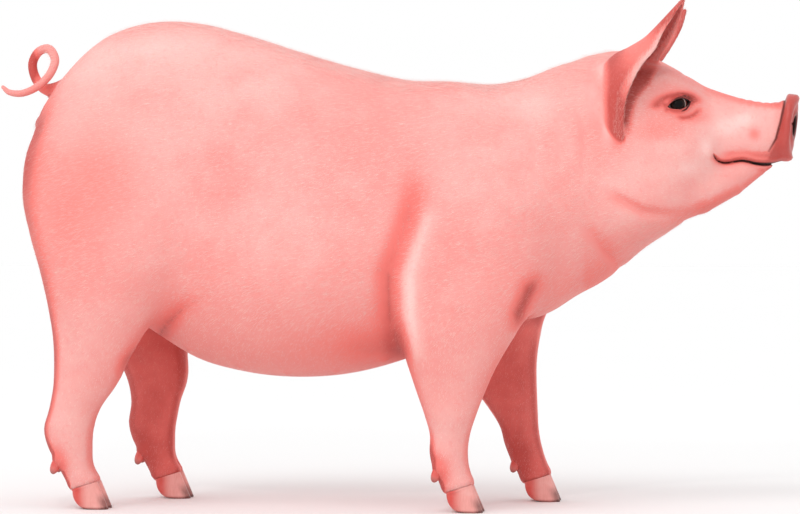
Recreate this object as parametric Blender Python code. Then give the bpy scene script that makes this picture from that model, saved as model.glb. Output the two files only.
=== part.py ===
"""A standing pink pig, life size, as closed solids that meet at thin cuts.

Metres, +Z up. The pig faces +X, its right side is -Y, and it stands on z = 0.
The flesh is one smooth blend of named forms: lofts for the barrel, skull and limbs, ovals for muscle and fat.
It is meshed, thinned out, and parted into trunk, neck, head and legs by flat cuts.
Ears, eyes, tail, claws and the snout's disc are solids of their own.
"""

import math

import bmesh
import bpy
import numpy as np
from mathutils import Matrix, Vector

# ---------------------------------------------------------------- driving dimensions
GAP = 0.0003            # clearance at each cut and round each set-in piece
BODY_CELL = 0.0105      # size of the mesh laid over the body before it is thinned
HEAD_CELL = 0.0055      # and over the head
BODY_TRIANGLES = 2700   # what each keeps after thinning
HEAD_TRIANGLES = 1560
DISC_TRIANGLES = 340

RIGHT, LEFT = -1, 1     # the side of a limb, ear or eye along Y
SIDES = {RIGHT: "right", LEFT: "left"}
STRIDE = {RIGHT: 0.0, LEFT: 1.0}  # the left feet stand a stride ahead of the right ones
HIND_STRIDE, HIND_KNEE, HIND_HIP = 0.114, 0.15, 0.445   # stride, and the heights it fades between
FORE_STRIDE, FORE_KNEE, FORE_HIP = 0.131, 0.05, 0.47

# Barrel and neck, by vertical sections: place along X, top, bottom, half width
BARREL = (
    (-0.716, 0.720, 0.640, 0.030),
    (-0.702, 0.760, 0.580, 0.072),
    (-0.674, 0.806, 0.520, 0.106),
    (-0.630, 0.860, 0.455, 0.134),
    (-0.580, 0.902, 0.405, 0.150),
    (-0.520, 0.928, 0.360, 0.164),
    (-0.455, 0.938, 0.318, 0.178),
    (-0.390, 0.934, 0.283, 0.190),
    (-0.300, 0.912, 0.262, 0.203),
    (-0.190, 0.877, 0.254, 0.214),
    (-0.090, 0.847, 0.260, 0.216),
    (0.010, 0.823, 0.282, 0.210),
    (0.100, 0.811, 0.314, 0.200),
    (0.180, 0.812, 0.340, 0.186),
    (0.240, 0.823, 0.366, 0.172),
    (0.310, 0.849, 0.396, 0.155),
    (0.380, 0.863, 0.424, 0.138),
    (0.450, 0.857, 0.477, 0.118),
    (0.500, 0.835, 0.528, 0.090),
)

# Skull and muzzle, by vertical sections: place along X, top, bottom, half width
SKULL = (
    (0.375, 0.846, 0.590, 0.080),
    (0.420, 0.863, 0.555, 0.108),
    (0.470, 0.859, 0.536, 0.119),
    (0.520, 0.838, 0.552, 0.112),
    (0.570, 0.813, 0.582, 0.091),
    (0.620, 0.794, 0.625, 0.0695),
    (0.670, 0.780, 0.656, 0.0575),
    (0.710, 0.775, 0.668, 0.0540),
    (0.740, 0.779, 0.668, 0.0555),
)

# Limbs, by level sections: height, place along X, half length, distance from the midline, half width
HIND_LIMB = (
    (0.018, -0.578, 0.036, 0.128, 0.034),
    (0.055, -0.595, 0.036, 0.128, 0.034),
    (0.085, -0.610, 0.037, 0.128, 0.034),
    (0.115, -0.619, 0.044, 0.128, 0.037),
    (0.150, -0.622, 0.0495, 0.129, 0.037),
    (0.190, -0.610, 0.0510, 0.131, 0.039),
    (0.230, -0.592, 0.061, 0.133, 0.046),
    (0.275, -0.577, 0.073, 0.136, 0.054),
    (0.320, -0.565, 0.086, 0.138, 0.064),
    (0.380, -0.551, 0.109, 0.137, 0.079),
    (0.450, -0.537, 0.140, 0.130, 0.093),
    (0.530, -0.532, 0.169, 0.120, 0.104),
    (0.620, -0.535, 0.179, 0.108, 0.106),
    (0.700, -0.535, 0.160, 0.094, 0.098),
    (0.760, -0.530, 0.112, 0.080, 0.070),
    (0.800, -0.525, 0.050, 0.070, 0.030),
)
FORE_LIMB = (
    (0.018, 0.137, 0.036, 0.128, 0.034),
    (0.055, 0.121, 0.036, 0.128, 0.034),
    (0.085, 0.110, 0.037, 0.128, 0.034),
    (0.110, 0.106, 0.038, 0.128, 0.034),
    (0.145, 0.108, 0.040, 0.128, 0.034),
    (0.180, 0.109, 0.050, 0.130, 0.040),
    (0.224, 0.110, 0.066, 0.132, 0.045),
    (0.270, 0.113, 0.084, 0.136, 0.052),
    (0.320, 0.119, 0.107, 0.138, 0.062),
    (0.380, 0.133, 0.133, 0.136, 0.073),
    (0.460, 0.148, 0.147, 0.128, 0.083),
    (0.540, 0.165, 0.140, 0.118, 0.088),
    (0.620, 0.185, 0.115, 0.106, 0.082),
    (0.680, 0.205, 0.080, 0.092, 0.062),
    (0.715, 0.215, 0.040, 0.086, 0.034),
)

# Muscles and fat that one oval each stands for: centre, half sizes, pitch in degrees, blend radius.
# They are given for the left side, and the right side mirrors them.
BODY_OVALS = (
    ((-0.430, 0.105, 0.660), (0.150, 0.085, 0.190), 12, 0.060),   # haunch, ahead of the ham
    ((-0.190, 0.060, 0.444), (0.250, 0.150, 0.165), 0, 0.080),    # belly
    ((0.120, 0.085, 0.640), (0.120, 0.095, 0.160), 20, 0.070),    # shoulder blade
    ((0.250, 0.050, 0.448), (0.075, 0.080, 0.075), 30, 0.060),    # breast
    ((0.330, 0.060, 0.620), (0.120, 0.080, 0.150), -20, 0.070),   # side of the neck
)
HEAD_OVALS = (
    ((0.455, 0.076, 0.592), (0.088, 0.066, 0.075), 35, 0.045),    # jowl
    ((0.515, 0.070, 0.680), (0.078, 0.046, 0.062), -10, 0.040),   # cheek
    ((0.517, 0.062, 0.800), (0.055, 0.034, 0.027), -24, 0.030),   # brow
    ((0.655, 0.030, 0.690), (0.060, 0.027, 0.025), -3, 0.022),    # upper lip
)

# Lower jaw, as balls strung from its angle to the chin: place, distance from the midline, height, radius
JAW = (
    (0.500, 0.050, 0.598, 0.062),
    (0.570, 0.040, 0.606, 0.047),
    (0.630, 0.028, 0.629, 0.037),
    (0.680, 0.016, 0.656, 0.026),
    (0.712, 0.008, 0.671, 0.017),
)

# Disc of the snout: the centre of its mass, half height, half width, half thickness, roundness of its rim, lean
DISC_CENTRE = (0.7445, 0.0, 0.7265)
DISC_HEIGHT, DISC_WIDTH, DISC_THICK, DISC_ROUND = 0.0640, 0.0600, 0.0135, 0.0085
DISC_LEAN = math.radians(7)
NOSTRIL = ((0.020, 0.0205, 0.004), (0.020, 0.0085, 0.0140))   # its centre in the disc, and half sizes

EYE_CENTRE = (0.534, 0.0835, 0.766)   # for the left eye
EYE_RADIUS = 0.0205
EYE_OPENING = ((0.534, 0.102, 0.766), (0.0225, 0.0120, 0.0120), -8)   # the hollow between the lids

# Ear, by its three edges: how far up the ear, then the inner rim, the outer rim and the back
EAR = (
    (0.00, 0.456, 0.032, 0.812, 0.424, 0.116, 0.672, 0.375, 0.070, 0.760),
    (0.16, 0.482, 0.050, 0.838, 0.431, 0.138, 0.714, 0.386, 0.088, 0.815),
    (0.32, 0.497, 0.061, 0.853, 0.438, 0.150, 0.776, 0.406, 0.092, 0.850),
    (0.50, 0.511, 0.080, 0.874, 0.466, 0.155, 0.836, 0.442, 0.096, 0.872),
    (0.66, 0.524, 0.097, 0.896, 0.492, 0.153, 0.868, 0.474, 0.108, 0.891),
    (0.80, 0.536, 0.112, 0.920, 0.507, 0.148, 0.900, 0.501, 0.119, 0.916),
    (0.92, 0.5435, 0.126, 0.943, 0.528, 0.143, 0.934, 0.526, 0.130, 0.942),
    (1.00, 0.5470, 0.135, 0.960, 0.544, 0.139, 0.958, 0.5425, 0.136, 0.960),
)
EAR_THICK = 0.0075     # at the base; the rims and tip are half of it

# Tail, by balls along it: how far along, place, radius
TAIL = (
    (0.00, -0.636, 0.000, 0.808, 0.0200),
    (0.09, -0.668, 0.001, 0.806, 0.0150),
    (0.17, -0.696, 0.004, 0.806, 0.0115),
    (0.26, -0.717, 0.007, 0.829, 0.0098),
    (0.34, -0.722, 0.006, 0.858, 0.0093),
    (0.41, -0.708, 0.002, 0.880, 0.0092),
    (0.47, -0.688, -0.004, 0.884, 0.0092),
    (0.54, -0.674, -0.012, 0.864, 0.0090),
    (0.62, -0.681, -0.020, 0.836, 0.0085),
    (0.71, -0.704, -0.025, 0.811, 0.0080),
    (0.81, -0.735, -0.025, 0.797, 0.0073),
    (0.91, -0.762, -0.022, 0.799, 0.0062),
    (1.00, -0.775, -0.020, 0.809, 0.0042),
)
TAIL_JOINTS = (0.0, 0.22, 0.64, 1.0)
TAIL_LENGTHS = ("tail_root", "tail_loop", "tail_tip")

# Claws: two on each foot stand on flat soles at z = 0
TOE_HIND, TOE_FORE = -0.5415, 0.173      # where the tips of the right feet stand
FOOT_AXIS = 0.128
CLAW_SPREAD, CLAW_HALF_WIDTH = 0.0178, 0.0160
CLAW_SOLE, CLAW_HEEL, CLAW_HEEL_HEIGHT, CLAW_TOP = 0.040, 0.030, 0.034, 0.075
CLAW_SLOPE = 0.42                       # how far the toe's wall leans back for its height
CORONET = ((-0.020, 0.050), (-0.072, 0.034))   # the claw's upper edge at toe and heel: behind the tip, height
CLAW_LEVELS = (0.0, 0.003, 0.014, 0.030, 0.075)
DEWCLAW_HIND, DEWCLAW_FORE = (-0.641, 0.088), (0.087, 0.078)    # root of the right ones: place, height
DEWCLAW_LENGTH, DEWCLAW_RADIUS, DEWCLAW_SPREAD = 0.032, 0.0100, 0.0215

# Where the flesh is parted: a point of the cut and the way it faces, in the plane of X and Z
NECK_CUT = ((0.270, 0.600), (0.996, 0.087))
HEAD_CUT = ((0.392, 0.670), (0.985, 0.174))
THIGH_CUT = ((-0.470, 0.310), (-0.778, -0.628))
ARM_CUT = ((0.000, 0.285), (0.259, -0.966))
HOCK_HEIGHT, CARPUS_HEIGHT = 0.240, 0.195
MOUTH = ((0.608, 0.671), (0.780, 0.661))    # the corner of the mouth, and where its line would end ahead

COLOURS = {
    "skin_pink": ((0.86, 0.42, 0.38), 0.55),
    "ear_pink": ((0.80, 0.34, 0.30), 0.55),
    "snout_rose": ((0.66, 0.22, 0.20), 0.40),
    "eye_brown": ((0.035, 0.015, 0.010), 0.08),
    "claw_horn": ((0.50, 0.27, 0.21), 0.40),
}


# ---------------------------------------------------------------- smooth forms, as signed distances
def through(stations, samples=400):
    """Closely spaced rows of a smooth curve through the rows of a table, whose first column rises."""
    rows = np.array(stations, float)
    place = rows[:, 0]
    slope = np.gradient(rows, place, axis=0)
    fine = np.linspace(place[0], place[-1], samples)
    i = np.clip(np.searchsorted(place, fine, "right") - 1, 0, len(place) - 2)
    step = (place[i + 1] - place[i])[:, None]
    t = (fine[:, None] - place[i][:, None]) / step
    return (
        (2 * t**3 - 3 * t**2 + 1) * rows[i]
        + (t**3 - 2 * t**2 + t) * step * slope[i]
        + (3 * t**2 - 2 * t**3) * rows[i + 1]
        + (t**3 - t**2) * step * slope[i + 1]
    )


def at_place(table, place):
    """Row of a fine table at a value of its first column."""
    return np.array([np.interp(place, table[:, 0], column) for column in table.T[1:]])


def section_distance(table, fullness, along, u, v):
    """How far (u, v) lies outside the section at a place: an oval, or a fuller one that nears a box."""
    place = np.clip(along, table[0, 0], table[-1, 0])
    centre_u, half_u, centre_v, half_v = (np.interp(place, table[:, 0], table[:, n]) for n in (1, 2, 3, 4))
    u, v = u - centre_u, v - centre_v
    spread = (np.abs(u / half_u) ** fullness + np.abs(v / half_v) ** fullness) ** (1 / fullness)
    reach = np.hypot(u, v)
    return reach - reach / np.maximum(spread, 1e-6)


def loft(table, fullness, along, u, v):
    """Distance to a loft through sections (place, centre u, half u, centre v, half v), with flat ends."""
    step = 0.004
    inside = section_distance(table, fullness, along, u, v)
    ahead = section_distance(table, fullness, along + step, u, v)
    behind = section_distance(table, fullness, along - step, u, v)
    inside = inside / np.hypot(1, (ahead - behind) / (2 * step))
    past = np.maximum(table[0, 0] - along, along - table[-1, 0])
    return np.minimum(np.maximum(inside, past), 0) + np.hypot(np.maximum(inside, 0), np.maximum(past, 0))


def oval(p, centre, half, pitch=0):
    """Distance to an ellipsoid that is pitched nose up by a few degrees."""
    c, s = math.cos(math.radians(pitch)), math.sin(math.radians(pitch))
    x, y, z = (p[:, n] - centre[n] for n in range(3))
    q = np.stack([c * x + s * z, y, c * z - s * x], axis=1)
    near = np.linalg.norm(q / half, axis=1)
    steep = np.linalg.norm(q / np.square(half), axis=1)
    return near * (near - 1) / np.maximum(steep, 1e-9)


def strung(p, balls):
    """Distance to a tapering rod through balls (x, y, z, radius)."""
    found = np.full(len(p), np.inf)
    for a, b in zip(balls, balls[1:]):
        start, run = np.array(a[:3]), np.subtract(b[:3], a[:3])
        t = np.clip((p - start) @ run / (run @ run), 0, 1)
        away = np.linalg.norm(p - start - t[:, None] * run, axis=1) - (a[3] + t * (b[3] - a[3]))
        found = np.minimum(found, away)
    return found


def join(a, b, blend):
    """Union of two forms with a fillet."""
    h = np.clip(0.5 + 0.5 * (b - a) / blend, 0, 1)
    return b + (a - b) * h - blend * h * (1 - h)


def carve(a, b, blend):
    """Form a less form b, with the edge rounded."""
    return -join(-a, b, blend)


def ramp(value, low, high):
    """0 up to low and 1 from high, turning smoothly between them."""
    t = np.clip((value - low) / (high - low), 0, 1)
    return t * t * (3 - 2 * t)


# ---------------------------------------------------------------- the flesh
def upright(stations):
    """Loft table from rows (place, top, bottom, half width)."""
    rows = through(stations)
    middle, half = (rows[:, 1] + rows[:, 2]) / 2, (rows[:, 1] - rows[:, 2]) / 2
    return np.stack([rows[:, 0], 0 * middle, rows[:, 3], middle, half], axis=1)


def limb(p, stations, side, reach, knee, hip):
    """A leg, whose sections are carried forward: not at the hip, and by the full stride from the knee down."""
    rows = through(stations)
    forward = rows[:, 1] + STRIDE[side] * reach * (1 - ramp(rows[:, 0], knee, hip))
    table = np.stack([rows[:, 0], forward, rows[:, 2], rows[:, 3], rows[:, 4]], axis=1)
    return loft(table, 2.15, p[:, 2], p[:, 0], side * p[:, 1])


BARREL_TABLE, SKULL_TABLE = upright(BARREL), upright(SKULL)


def disc_place(p):
    """Points in the frame of the snout's disc: ahead of it, across and up."""
    c, s = math.cos(DISC_LEAN), math.sin(DISC_LEAN)
    x, z = p[:, 0] - DISC_CENTRE[0], p[:, 2] - DISC_CENTRE[2]
    return np.stack([c * x - s * z, p[:, 1], s * x + c * z], axis=1)


def disc(p):
    """Distance to the snout's disc: a round-edged plate with two nostrils."""
    q = disc_place(p)
    spread = (np.abs(q[:, 1] / DISC_WIDTH) ** 2.3 + np.abs(q[:, 2] / DISC_HEIGHT) ** 2.3) ** (1 / 2.3)
    reach = np.hypot(q[:, 1], q[:, 2])
    out = reach - reach / np.maximum(spread, 1e-6) + DISC_ROUND
    deep = np.abs(q[:, 0]) - DISC_THICK + DISC_ROUND
    plate = np.minimum(np.maximum(out, deep), 0) + np.hypot(np.maximum(out, 0), np.maximum(deep, 0)) - DISC_ROUND
    q[:, 1] = np.abs(q[:, 1])
    return carve(plate, oval(q, *NOSTRIL), 0.004)


def head_flesh(p):
    """Distance to skull, jaws, jowls and muzzle."""
    folded = np.stack([p[:, 0], np.abs(p[:, 1]), p[:, 2]], axis=1)
    head = loft(SKULL_TABLE, 2.3, *p.T)
    head = join(head, strung(folded, JAW), 0.022)
    for centre, half, pitch, blend in HEAD_OVALS:
        head = join(head, oval(folded, centre, half, pitch), blend)
    return carve(head, oval(folded, *EYE_OPENING), 0.006)


def flesh(p):
    """Distance to the whole pig without ears, eyes, tail, claws and the snout's disc."""
    folded = np.stack([p[:, 0], np.abs(p[:, 1]), p[:, 2]], axis=1)
    body = loft(BARREL_TABLE, 2.25, *p.T)
    for centre, half, pitch, blend in BODY_OVALS:
        body = join(body, oval(folded, centre, half, pitch), blend)
    body = join(body, head_flesh(p), 0.050)
    for side in SIDES:
        body = join(body, limb(p, HIND_LIMB, side, HIND_STRIDE, HIND_KNEE, HIND_HIP), 0.045)
        body = join(body, limb(p, FORE_LIMB, side, FORE_STRIDE, FORE_KNEE, FORE_HIP), 0.040)
    return body


# ---------------------------------------------------------------- meshing
def net_over(field, low, high, cell):
    """Closed quad mesh over the zero level of a field: one point in each cell that the level crosses."""
    axes = [np.arange(a, b + cell, cell) for a, b in zip(low, high)]
    shape = tuple(len(a) for a in axes)
    coarse = [a[::4] for a in axes]
    grid = np.stack(np.meshgrid(*coarse, indexing="ij"), axis=-1).reshape(-1, 3)
    rough = field(grid).reshape([len(a) for a in coarse])
    values = rough.repeat(4, 0).repeat(4, 1).repeat(4, 2)[: shape[0], : shape[1], : shape[2]].copy()
    near = np.argwhere(np.abs(values) < 8 * cell)
    values[tuple(near.T)] = field(np.stack([axes[n][near[:, n]] for n in range(3)], axis=1))
    inside = values < 0
    corners = [(i, j, k) for i in (0, 1) for j in (0, 1) for k in (0, 1)]
    count = np.zeros([n - 1 for n in shape], np.int8)
    for corner in corners:
        count += inside[tuple(slice(o, o + n - 1) for o, n in zip(corner, shape))]
    cells = np.argwhere((count > 0) & (count < 8))
    index = np.full(count.shape, -1)
    index[tuple(cells.T)] = np.arange(len(cells))
    total, number = np.zeros((len(cells), 3)), np.zeros(len(cells))
    for a in corners:
        for b in corners:
            if sum(b) - sum(a) != 1 or min(np.subtract(b, a)) < 0:
                continue
            start, end = values[tuple((cells + a).T)], values[tuple((cells + b).T)]
            crosses = (start < 0) != (end < 0)
            t = np.where(crosses, start / np.where(crosses, start - end, 1), 0)
            total += crosses[:, None] * (np.array(a) + t[:, None] * np.subtract(b, a))
            number += crosses
    points = np.stack([axes[n][cells[:, n]] for n in range(3)], axis=1) + cell * total / number[:, None]
    faces = []
    for axis in range(3):
        u, v = (axis + 1) % 3, (axis + 2) % 3
        first = inside[tuple(slice(0, -1) if n == axis else slice(None) for n in range(3))]
        second = inside[tuple(slice(1, None) if n == axis else slice(None) for n in range(3))]
        edge = np.argwhere(first != second)
        ring = []
        for du, dv in ((1, 1), (0, 1), (0, 0), (1, 0)):
            beside = edge.copy()
            beside[:, u] -= du
            beside[:, v] -= dv
            ring.append(index[tuple(beside.T)])
        quad = np.stack(ring, axis=1)
        faces.append(np.where(first[tuple(edge.T)][:, None], quad, quad[:, ::-1]))
    return points, np.concatenate(faces)


def settle(points, field, rounds=4):
    """Points moved along the field's slope until they lie on its zero level."""
    step = 0.0005
    for _ in range(rounds):
        slope = [(field(points + step * e) - field(points - step * e)) / (2 * step) for e in np.eye(3)]
        slope = np.stack(slope, axis=1)
        points = points - (field(points) / np.maximum((slope**2).sum(1), 0.2))[:, None] * slope
    return points


def as_mesh(points, faces):
    mesh = bpy.data.meshes.new("work")
    mesh.from_pydata([tuple(p) for p in points], [], [tuple(f) for f in faces])
    return mesh


def as_bmesh(mesh):
    solid = bmesh.new()
    solid.from_mesh(mesh)
    return solid


def modified(mesh, kind, **settings):
    """A mesh with one modifier applied to it."""
    thing = bpy.data.objects.new("work", mesh)
    bpy.context.scene.collection.objects.link(thing)
    modifier = thing.modifiers.new("work", kind)
    for name, value in settings.items():
        setattr(modifier, name, value)
    result = bpy.data.meshes.new_from_object(thing.evaluated_get(bpy.context.evaluated_depsgraph_get()))
    bpy.data.objects.remove(thing)
    return result


def thinned(field, low, high, cell, triangles):
    """Solid inside a field, with no more triangles than asked for."""
    points, faces = net_over(field, low, high, cell)
    mesh = as_mesh(settle(points, field), faces)
    return as_bmesh(modified(mesh, "DECIMATE", ratio=triangles / (2 * len(faces)), use_symmetry=False))


# ---------------------------------------------------------------- cutting
def side_of(solid, cut, sign=1):
    """The part of a solid on one side of a cut (point, facing) in the plane of X and Z, closed by a flat face."""
    (x, z), (nx, nz) = cut
    return beyond(solid, Vector((x, 0, z)), Vector((nx, 0, nz)) * sign)


def beyond(solid, point, facing):
    kept = solid.copy()
    facing = facing.normalized()
    geometry = kept.verts[:] + kept.edges[:] + kept.faces[:]
    done = bmesh.ops.bisect_plane(
        kept, geom=geometry, dist=1e-6, plane_co=point + facing * GAP / 2, plane_no=facing, clear_inner=True
    )
    rim = [e for e in done["geom_cut"] if isinstance(e, bmesh.types.BMEdge)]
    bmesh.ops.holes_fill(kept, edges=rim, sides=0)
    return kept


def islands(solid):
    """The separate bodies of a solid, the largest first."""
    solid.verts.index_update()
    waiting, groups = set(solid.verts), []
    while waiting:
        front = [waiting.pop()]
        group = set(front)
        while front:
            for edge in front.pop().link_edges:
                for vert in edge.verts:
                    if vert not in group:
                        group.add(vert)
                        front.append(vert)
        waiting -= group
        groups.append({v.index for v in group})
    bodies = []
    for group in sorted(groups, key=len, reverse=True):
        body = solid.copy()
        bmesh.ops.delete(body, geom=[v for v in body.verts if v.index not in group], context="VERTS")
        bodies.append(body)
    return bodies


def middle_y(solid):
    return sum(v.co.y for v in solid.verts) / len(solid.verts)


def mesh_of(solid, name="work"):
    """Clean closed triangle mesh of a solid."""
    bmesh.ops.remove_doubles(solid, verts=solid.verts, dist=2e-5)
    bmesh.ops.dissolve_degenerate(solid, dist=2e-5, edges=solid.edges)
    bmesh.ops.holes_fill(solid, edges=[e for e in solid.edges if e.is_boundary], sides=0)
    bmesh.ops.triangulate(solid, faces=solid.faces, ngon_method="EAR_CLIP")
    bmesh.ops.recalc_face_normals(solid, faces=solid.faces)
    mesh = bpy.data.meshes.new(name)
    solid.to_mesh(mesh)
    return mesh


def grown(solid, by):
    """A copy with its surface moved outward."""
    swollen = solid.copy()
    swollen.normal_update()
    for vert in swollen.verts:
        vert.co += vert.normal * by
    return swollen


def combined(solid, other, operation):
    """Largest body of what a solid and another leave when one is taken from the other, or where they overlap."""
    tool = bpy.data.objects.new("tool", mesh_of(other))
    bpy.context.scene.collection.objects.link(tool)
    left = modified(mesh_of(solid), "BOOLEAN", operation=operation, solver="EXACT", object=tool)
    bpy.data.objects.remove(tool)
    return islands(as_bmesh(left))[0]


def without(solid, taken):
    """What is left of a solid once another and a clearance round it are taken away."""
    return combined(solid, grown(taken, GAP), "DIFFERENCE")


# ---------------------------------------------------------------- pieces built from rings of points
def from_rings(rings):
    """Closed solid over rings that have the same number of points, with flat ends."""
    solid = bmesh.new()
    rows = [[solid.verts.new(tuple(p)) for p in ring] for ring in rings]
    count = len(rows[0])
    for low, high in zip(rows, rows[1:]):
        for n in range(count):
            solid.faces.new((low[n], low[(n + 1) % count], high[(n + 1) % count], high[n]))
    solid.faces.new(rows[0][::-1])
    solid.faces.new(rows[-1])
    bmesh.ops.recalc_face_normals(solid, faces=solid.faces)
    return solid


def ear_sheet(side, rows, columns):
    """Middle surface of an ear, as rows and columns of points: a cup that opens ahead and outward."""
    table = through(EAR, rows)
    inner, outer, back = table[:, None, 1:4], table[:, None, 4:7], table[:, None, 7:10]
    turn = np.linspace(-math.pi / 2, math.pi / 2, columns)[None, :, None]
    middle = (inner + outer) / 2
    sheet = middle + (inner - outer) / 2 * np.sin(turn) + (back - middle) * np.cos(turn)
    return sheet * (1, side, 1)


def ear(side):
    """Ear as a closed solid, thick at its root and thin at its rims and tip."""
    rows, columns = 9, 8
    sheet = ear_sheet(side, rows, columns)
    up = np.gradient(sheet, axis=0)
    along = np.gradient(sheet, axis=1)
    out = np.cross(up, along) * side
    out /= np.linalg.norm(out, axis=2)[:, :, None]
    rise = np.linspace(0, 1, rows)[:, None, None]
    edge = np.abs(np.linspace(-1, 1, columns))[None, :, None]
    half = EAR_THICK / 2 * (1 - 0.55 * rise) * (1 - 0.40 * edge**3)
    return from_rings(np.concatenate([sheet + half * out, (sheet - half * out)[:, ::-1]], axis=1))


def tube(table, start, end, rings, sides):
    """Length of the tail between two places along it."""
    loops = []
    for place in np.linspace(start, end, rings):
        centre, radius = at_place(table, place)[:3], at_place(table, place)[3]
        tangent = at_place(table, place + 0.004)[:3] - at_place(table, place - 0.004)[:3]
        tangent /= np.linalg.norm(tangent)
        first = np.cross((0, 1, 0), tangent)
        first /= np.linalg.norm(first)
        second = np.cross(tangent, first)
        turns = np.arange(sides) * 2 * math.pi / sides
        loops.append([centre + radius * (math.cos(a) * first + math.sin(a) * second) for a in turns])
    return from_rings(loops)


def ball(centre, radius):
    solid = bmesh.new()
    bmesh.ops.create_uvsphere(solid, u_segments=12, v_segments=7, radius=radius)
    bmesh.ops.transform(solid, matrix=Matrix.Translation(centre), verts=solid.verts)
    return solid


def claw(toe, middle, away):
    """One claw: a wedge whose wall leans back from the toe, and whose heel rounds up behind a flat sole."""
    rings = []
    for height in CLAW_LEVELS:
        front = -CLAW_SLOPE * height
        lift = 1 - min(height / CLAW_HEEL_HEIGHT, 1)
        rear = -CLAW_SOLE - CLAW_HEEL * math.sqrt(1 - lift * lift) - CLAW_SLOPE * max(height - CLAW_HEEL_HEIGHT, 0)
        inset = 0.0015 if height == 0 else 0.0
        half = CLAW_HALF_WIDTH - inset - 0.0012 * (1 - height / CLAW_TOP)
        ring = []
        for n in range(11):
            a = 2 * math.pi * n / 11
            ahead, across = math.cos(a), math.sin(a)
            ahead, across = (math.copysign(abs(v) ** 0.85, v) for v in (ahead, across))
            width = half * (1 - 0.18 * max(ahead, 0) ** 2)
            x = (front + rear) / 2 + (front - rear - 2 * inset) / 2 * ahead
            ring.append((toe + x, middle + away * CLAW_SPREAD + width * across, height))
        rings.append(ring)
    return from_rings(rings)


def coronet(toe):
    """Plane of the claws' upper edge: a point and the way it faces, upward."""
    (x0, z0), (x1, z1) = CORONET
    return Vector((toe + x0, 0, z0)), Vector((z1 - z0, 0, x0 - x1)).normalized()


def dewclaw(root, side, away):
    """Small claw behind the pastern: a blunt cone that points down and back."""
    x, z = root
    point = Vector((-0.45, 0.12 * away, -0.88)).normalized()
    first = point.cross(Vector((0, 1, 0))).normalized()
    second = point.cross(first)
    start = Vector((x, side * FOOT_AXIS + away * DEWCLAW_SPREAD, z)) - point * 0.008
    rings = []
    for far, wide in ((0.0, 0.95), (0.5, 1.0), (0.85, 0.68), (1.0, 0.30)):
        centre, radius = start + point * DEWCLAW_LENGTH * far, DEWCLAW_RADIUS * wide
        turns = [2 * math.pi * n / 6 for n in range(6)]
        rings.append([centre + radius * (math.cos(a) * first + 0.85 * math.sin(a) * second) for a in turns])
    return from_rings(rings)


def below_mouth(inset):
    """Block that holds all that is ahead of the mouth's corner and under its line."""
    (x0, z0), (x1, z1) = MOUTH
    outline = ((x0 + inset, z0 - 0.3), (x1, z0 - 0.3), (x1, z1 - inset), (x0 + inset, z0 - inset))
    return from_rings([[(x, y, z) for x, z in outline] for y in (-0.2, 0.2)])


# ---------------------------------------------------------------- naming and colouring
def material(name):
    made = bpy.data.materials.get(name) or bpy.data.materials.new(name)
    made.use_nodes = True
    colour, roughness = COLOURS[name]
    shader = made.node_tree.nodes["Principled BSDF"]
    shader.inputs["Base Color"].default_value = (*colour, 1)
    shader.inputs["Roughness"].default_value = roughness
    made.diffuse_color = (*colour, 1)
    return made


def place(name, solid, colour):
    mesh = mesh_of(solid, name)
    mesh.materials.append(material(colour))
    thing = bpy.data.objects.new(name, mesh)
    bpy.context.scene.collection.objects.link(thing)
    return thing


# ---------------------------------------------------------------- the pig
def build_legs(pieces, legs, kind, height, toe, reach, root):
    """Part each leg at a height, fit its claws below the coronet, and note every piece."""
    for side, leg in legs.items():
        name = SIDES[side]
        ahead = toe + STRIDE[side] * reach
        point, up = coronet(ahead)
        level = Vector((0, 0, height))
        upper, lower = ("thigh", "shank") if kind == "hind" else ("arm", "shank")
        pieces[f"{kind}_{upper}_{name}"] = (beyond(leg, level, Vector((0, 0, 1))), "skin_pink")
        shank = beyond(beyond(leg, level, Vector((0, 0, -1))), point, up)
        shank = islands(shank)[0]
        for away, place_name in ((side, "outer"), (-side, "inner")):
            horn = beyond(claw(ahead, side * FOOT_AXIS, away), point, -up)
            pieces[f"{kind}_claw_{name}_{place_name}"] = (horn, "claw_horn")
            behind = (root[0] + STRIDE[side] * reach, root[1])
            spur = without(dewclaw(behind, side, away), shank)
            pieces[f"{kind}_dewclaw_{name}_{place_name}"] = (spur, "claw_horn")
        pieces[f"{kind}_{lower}_{name}"] = (shank, "skin_pink")


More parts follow.
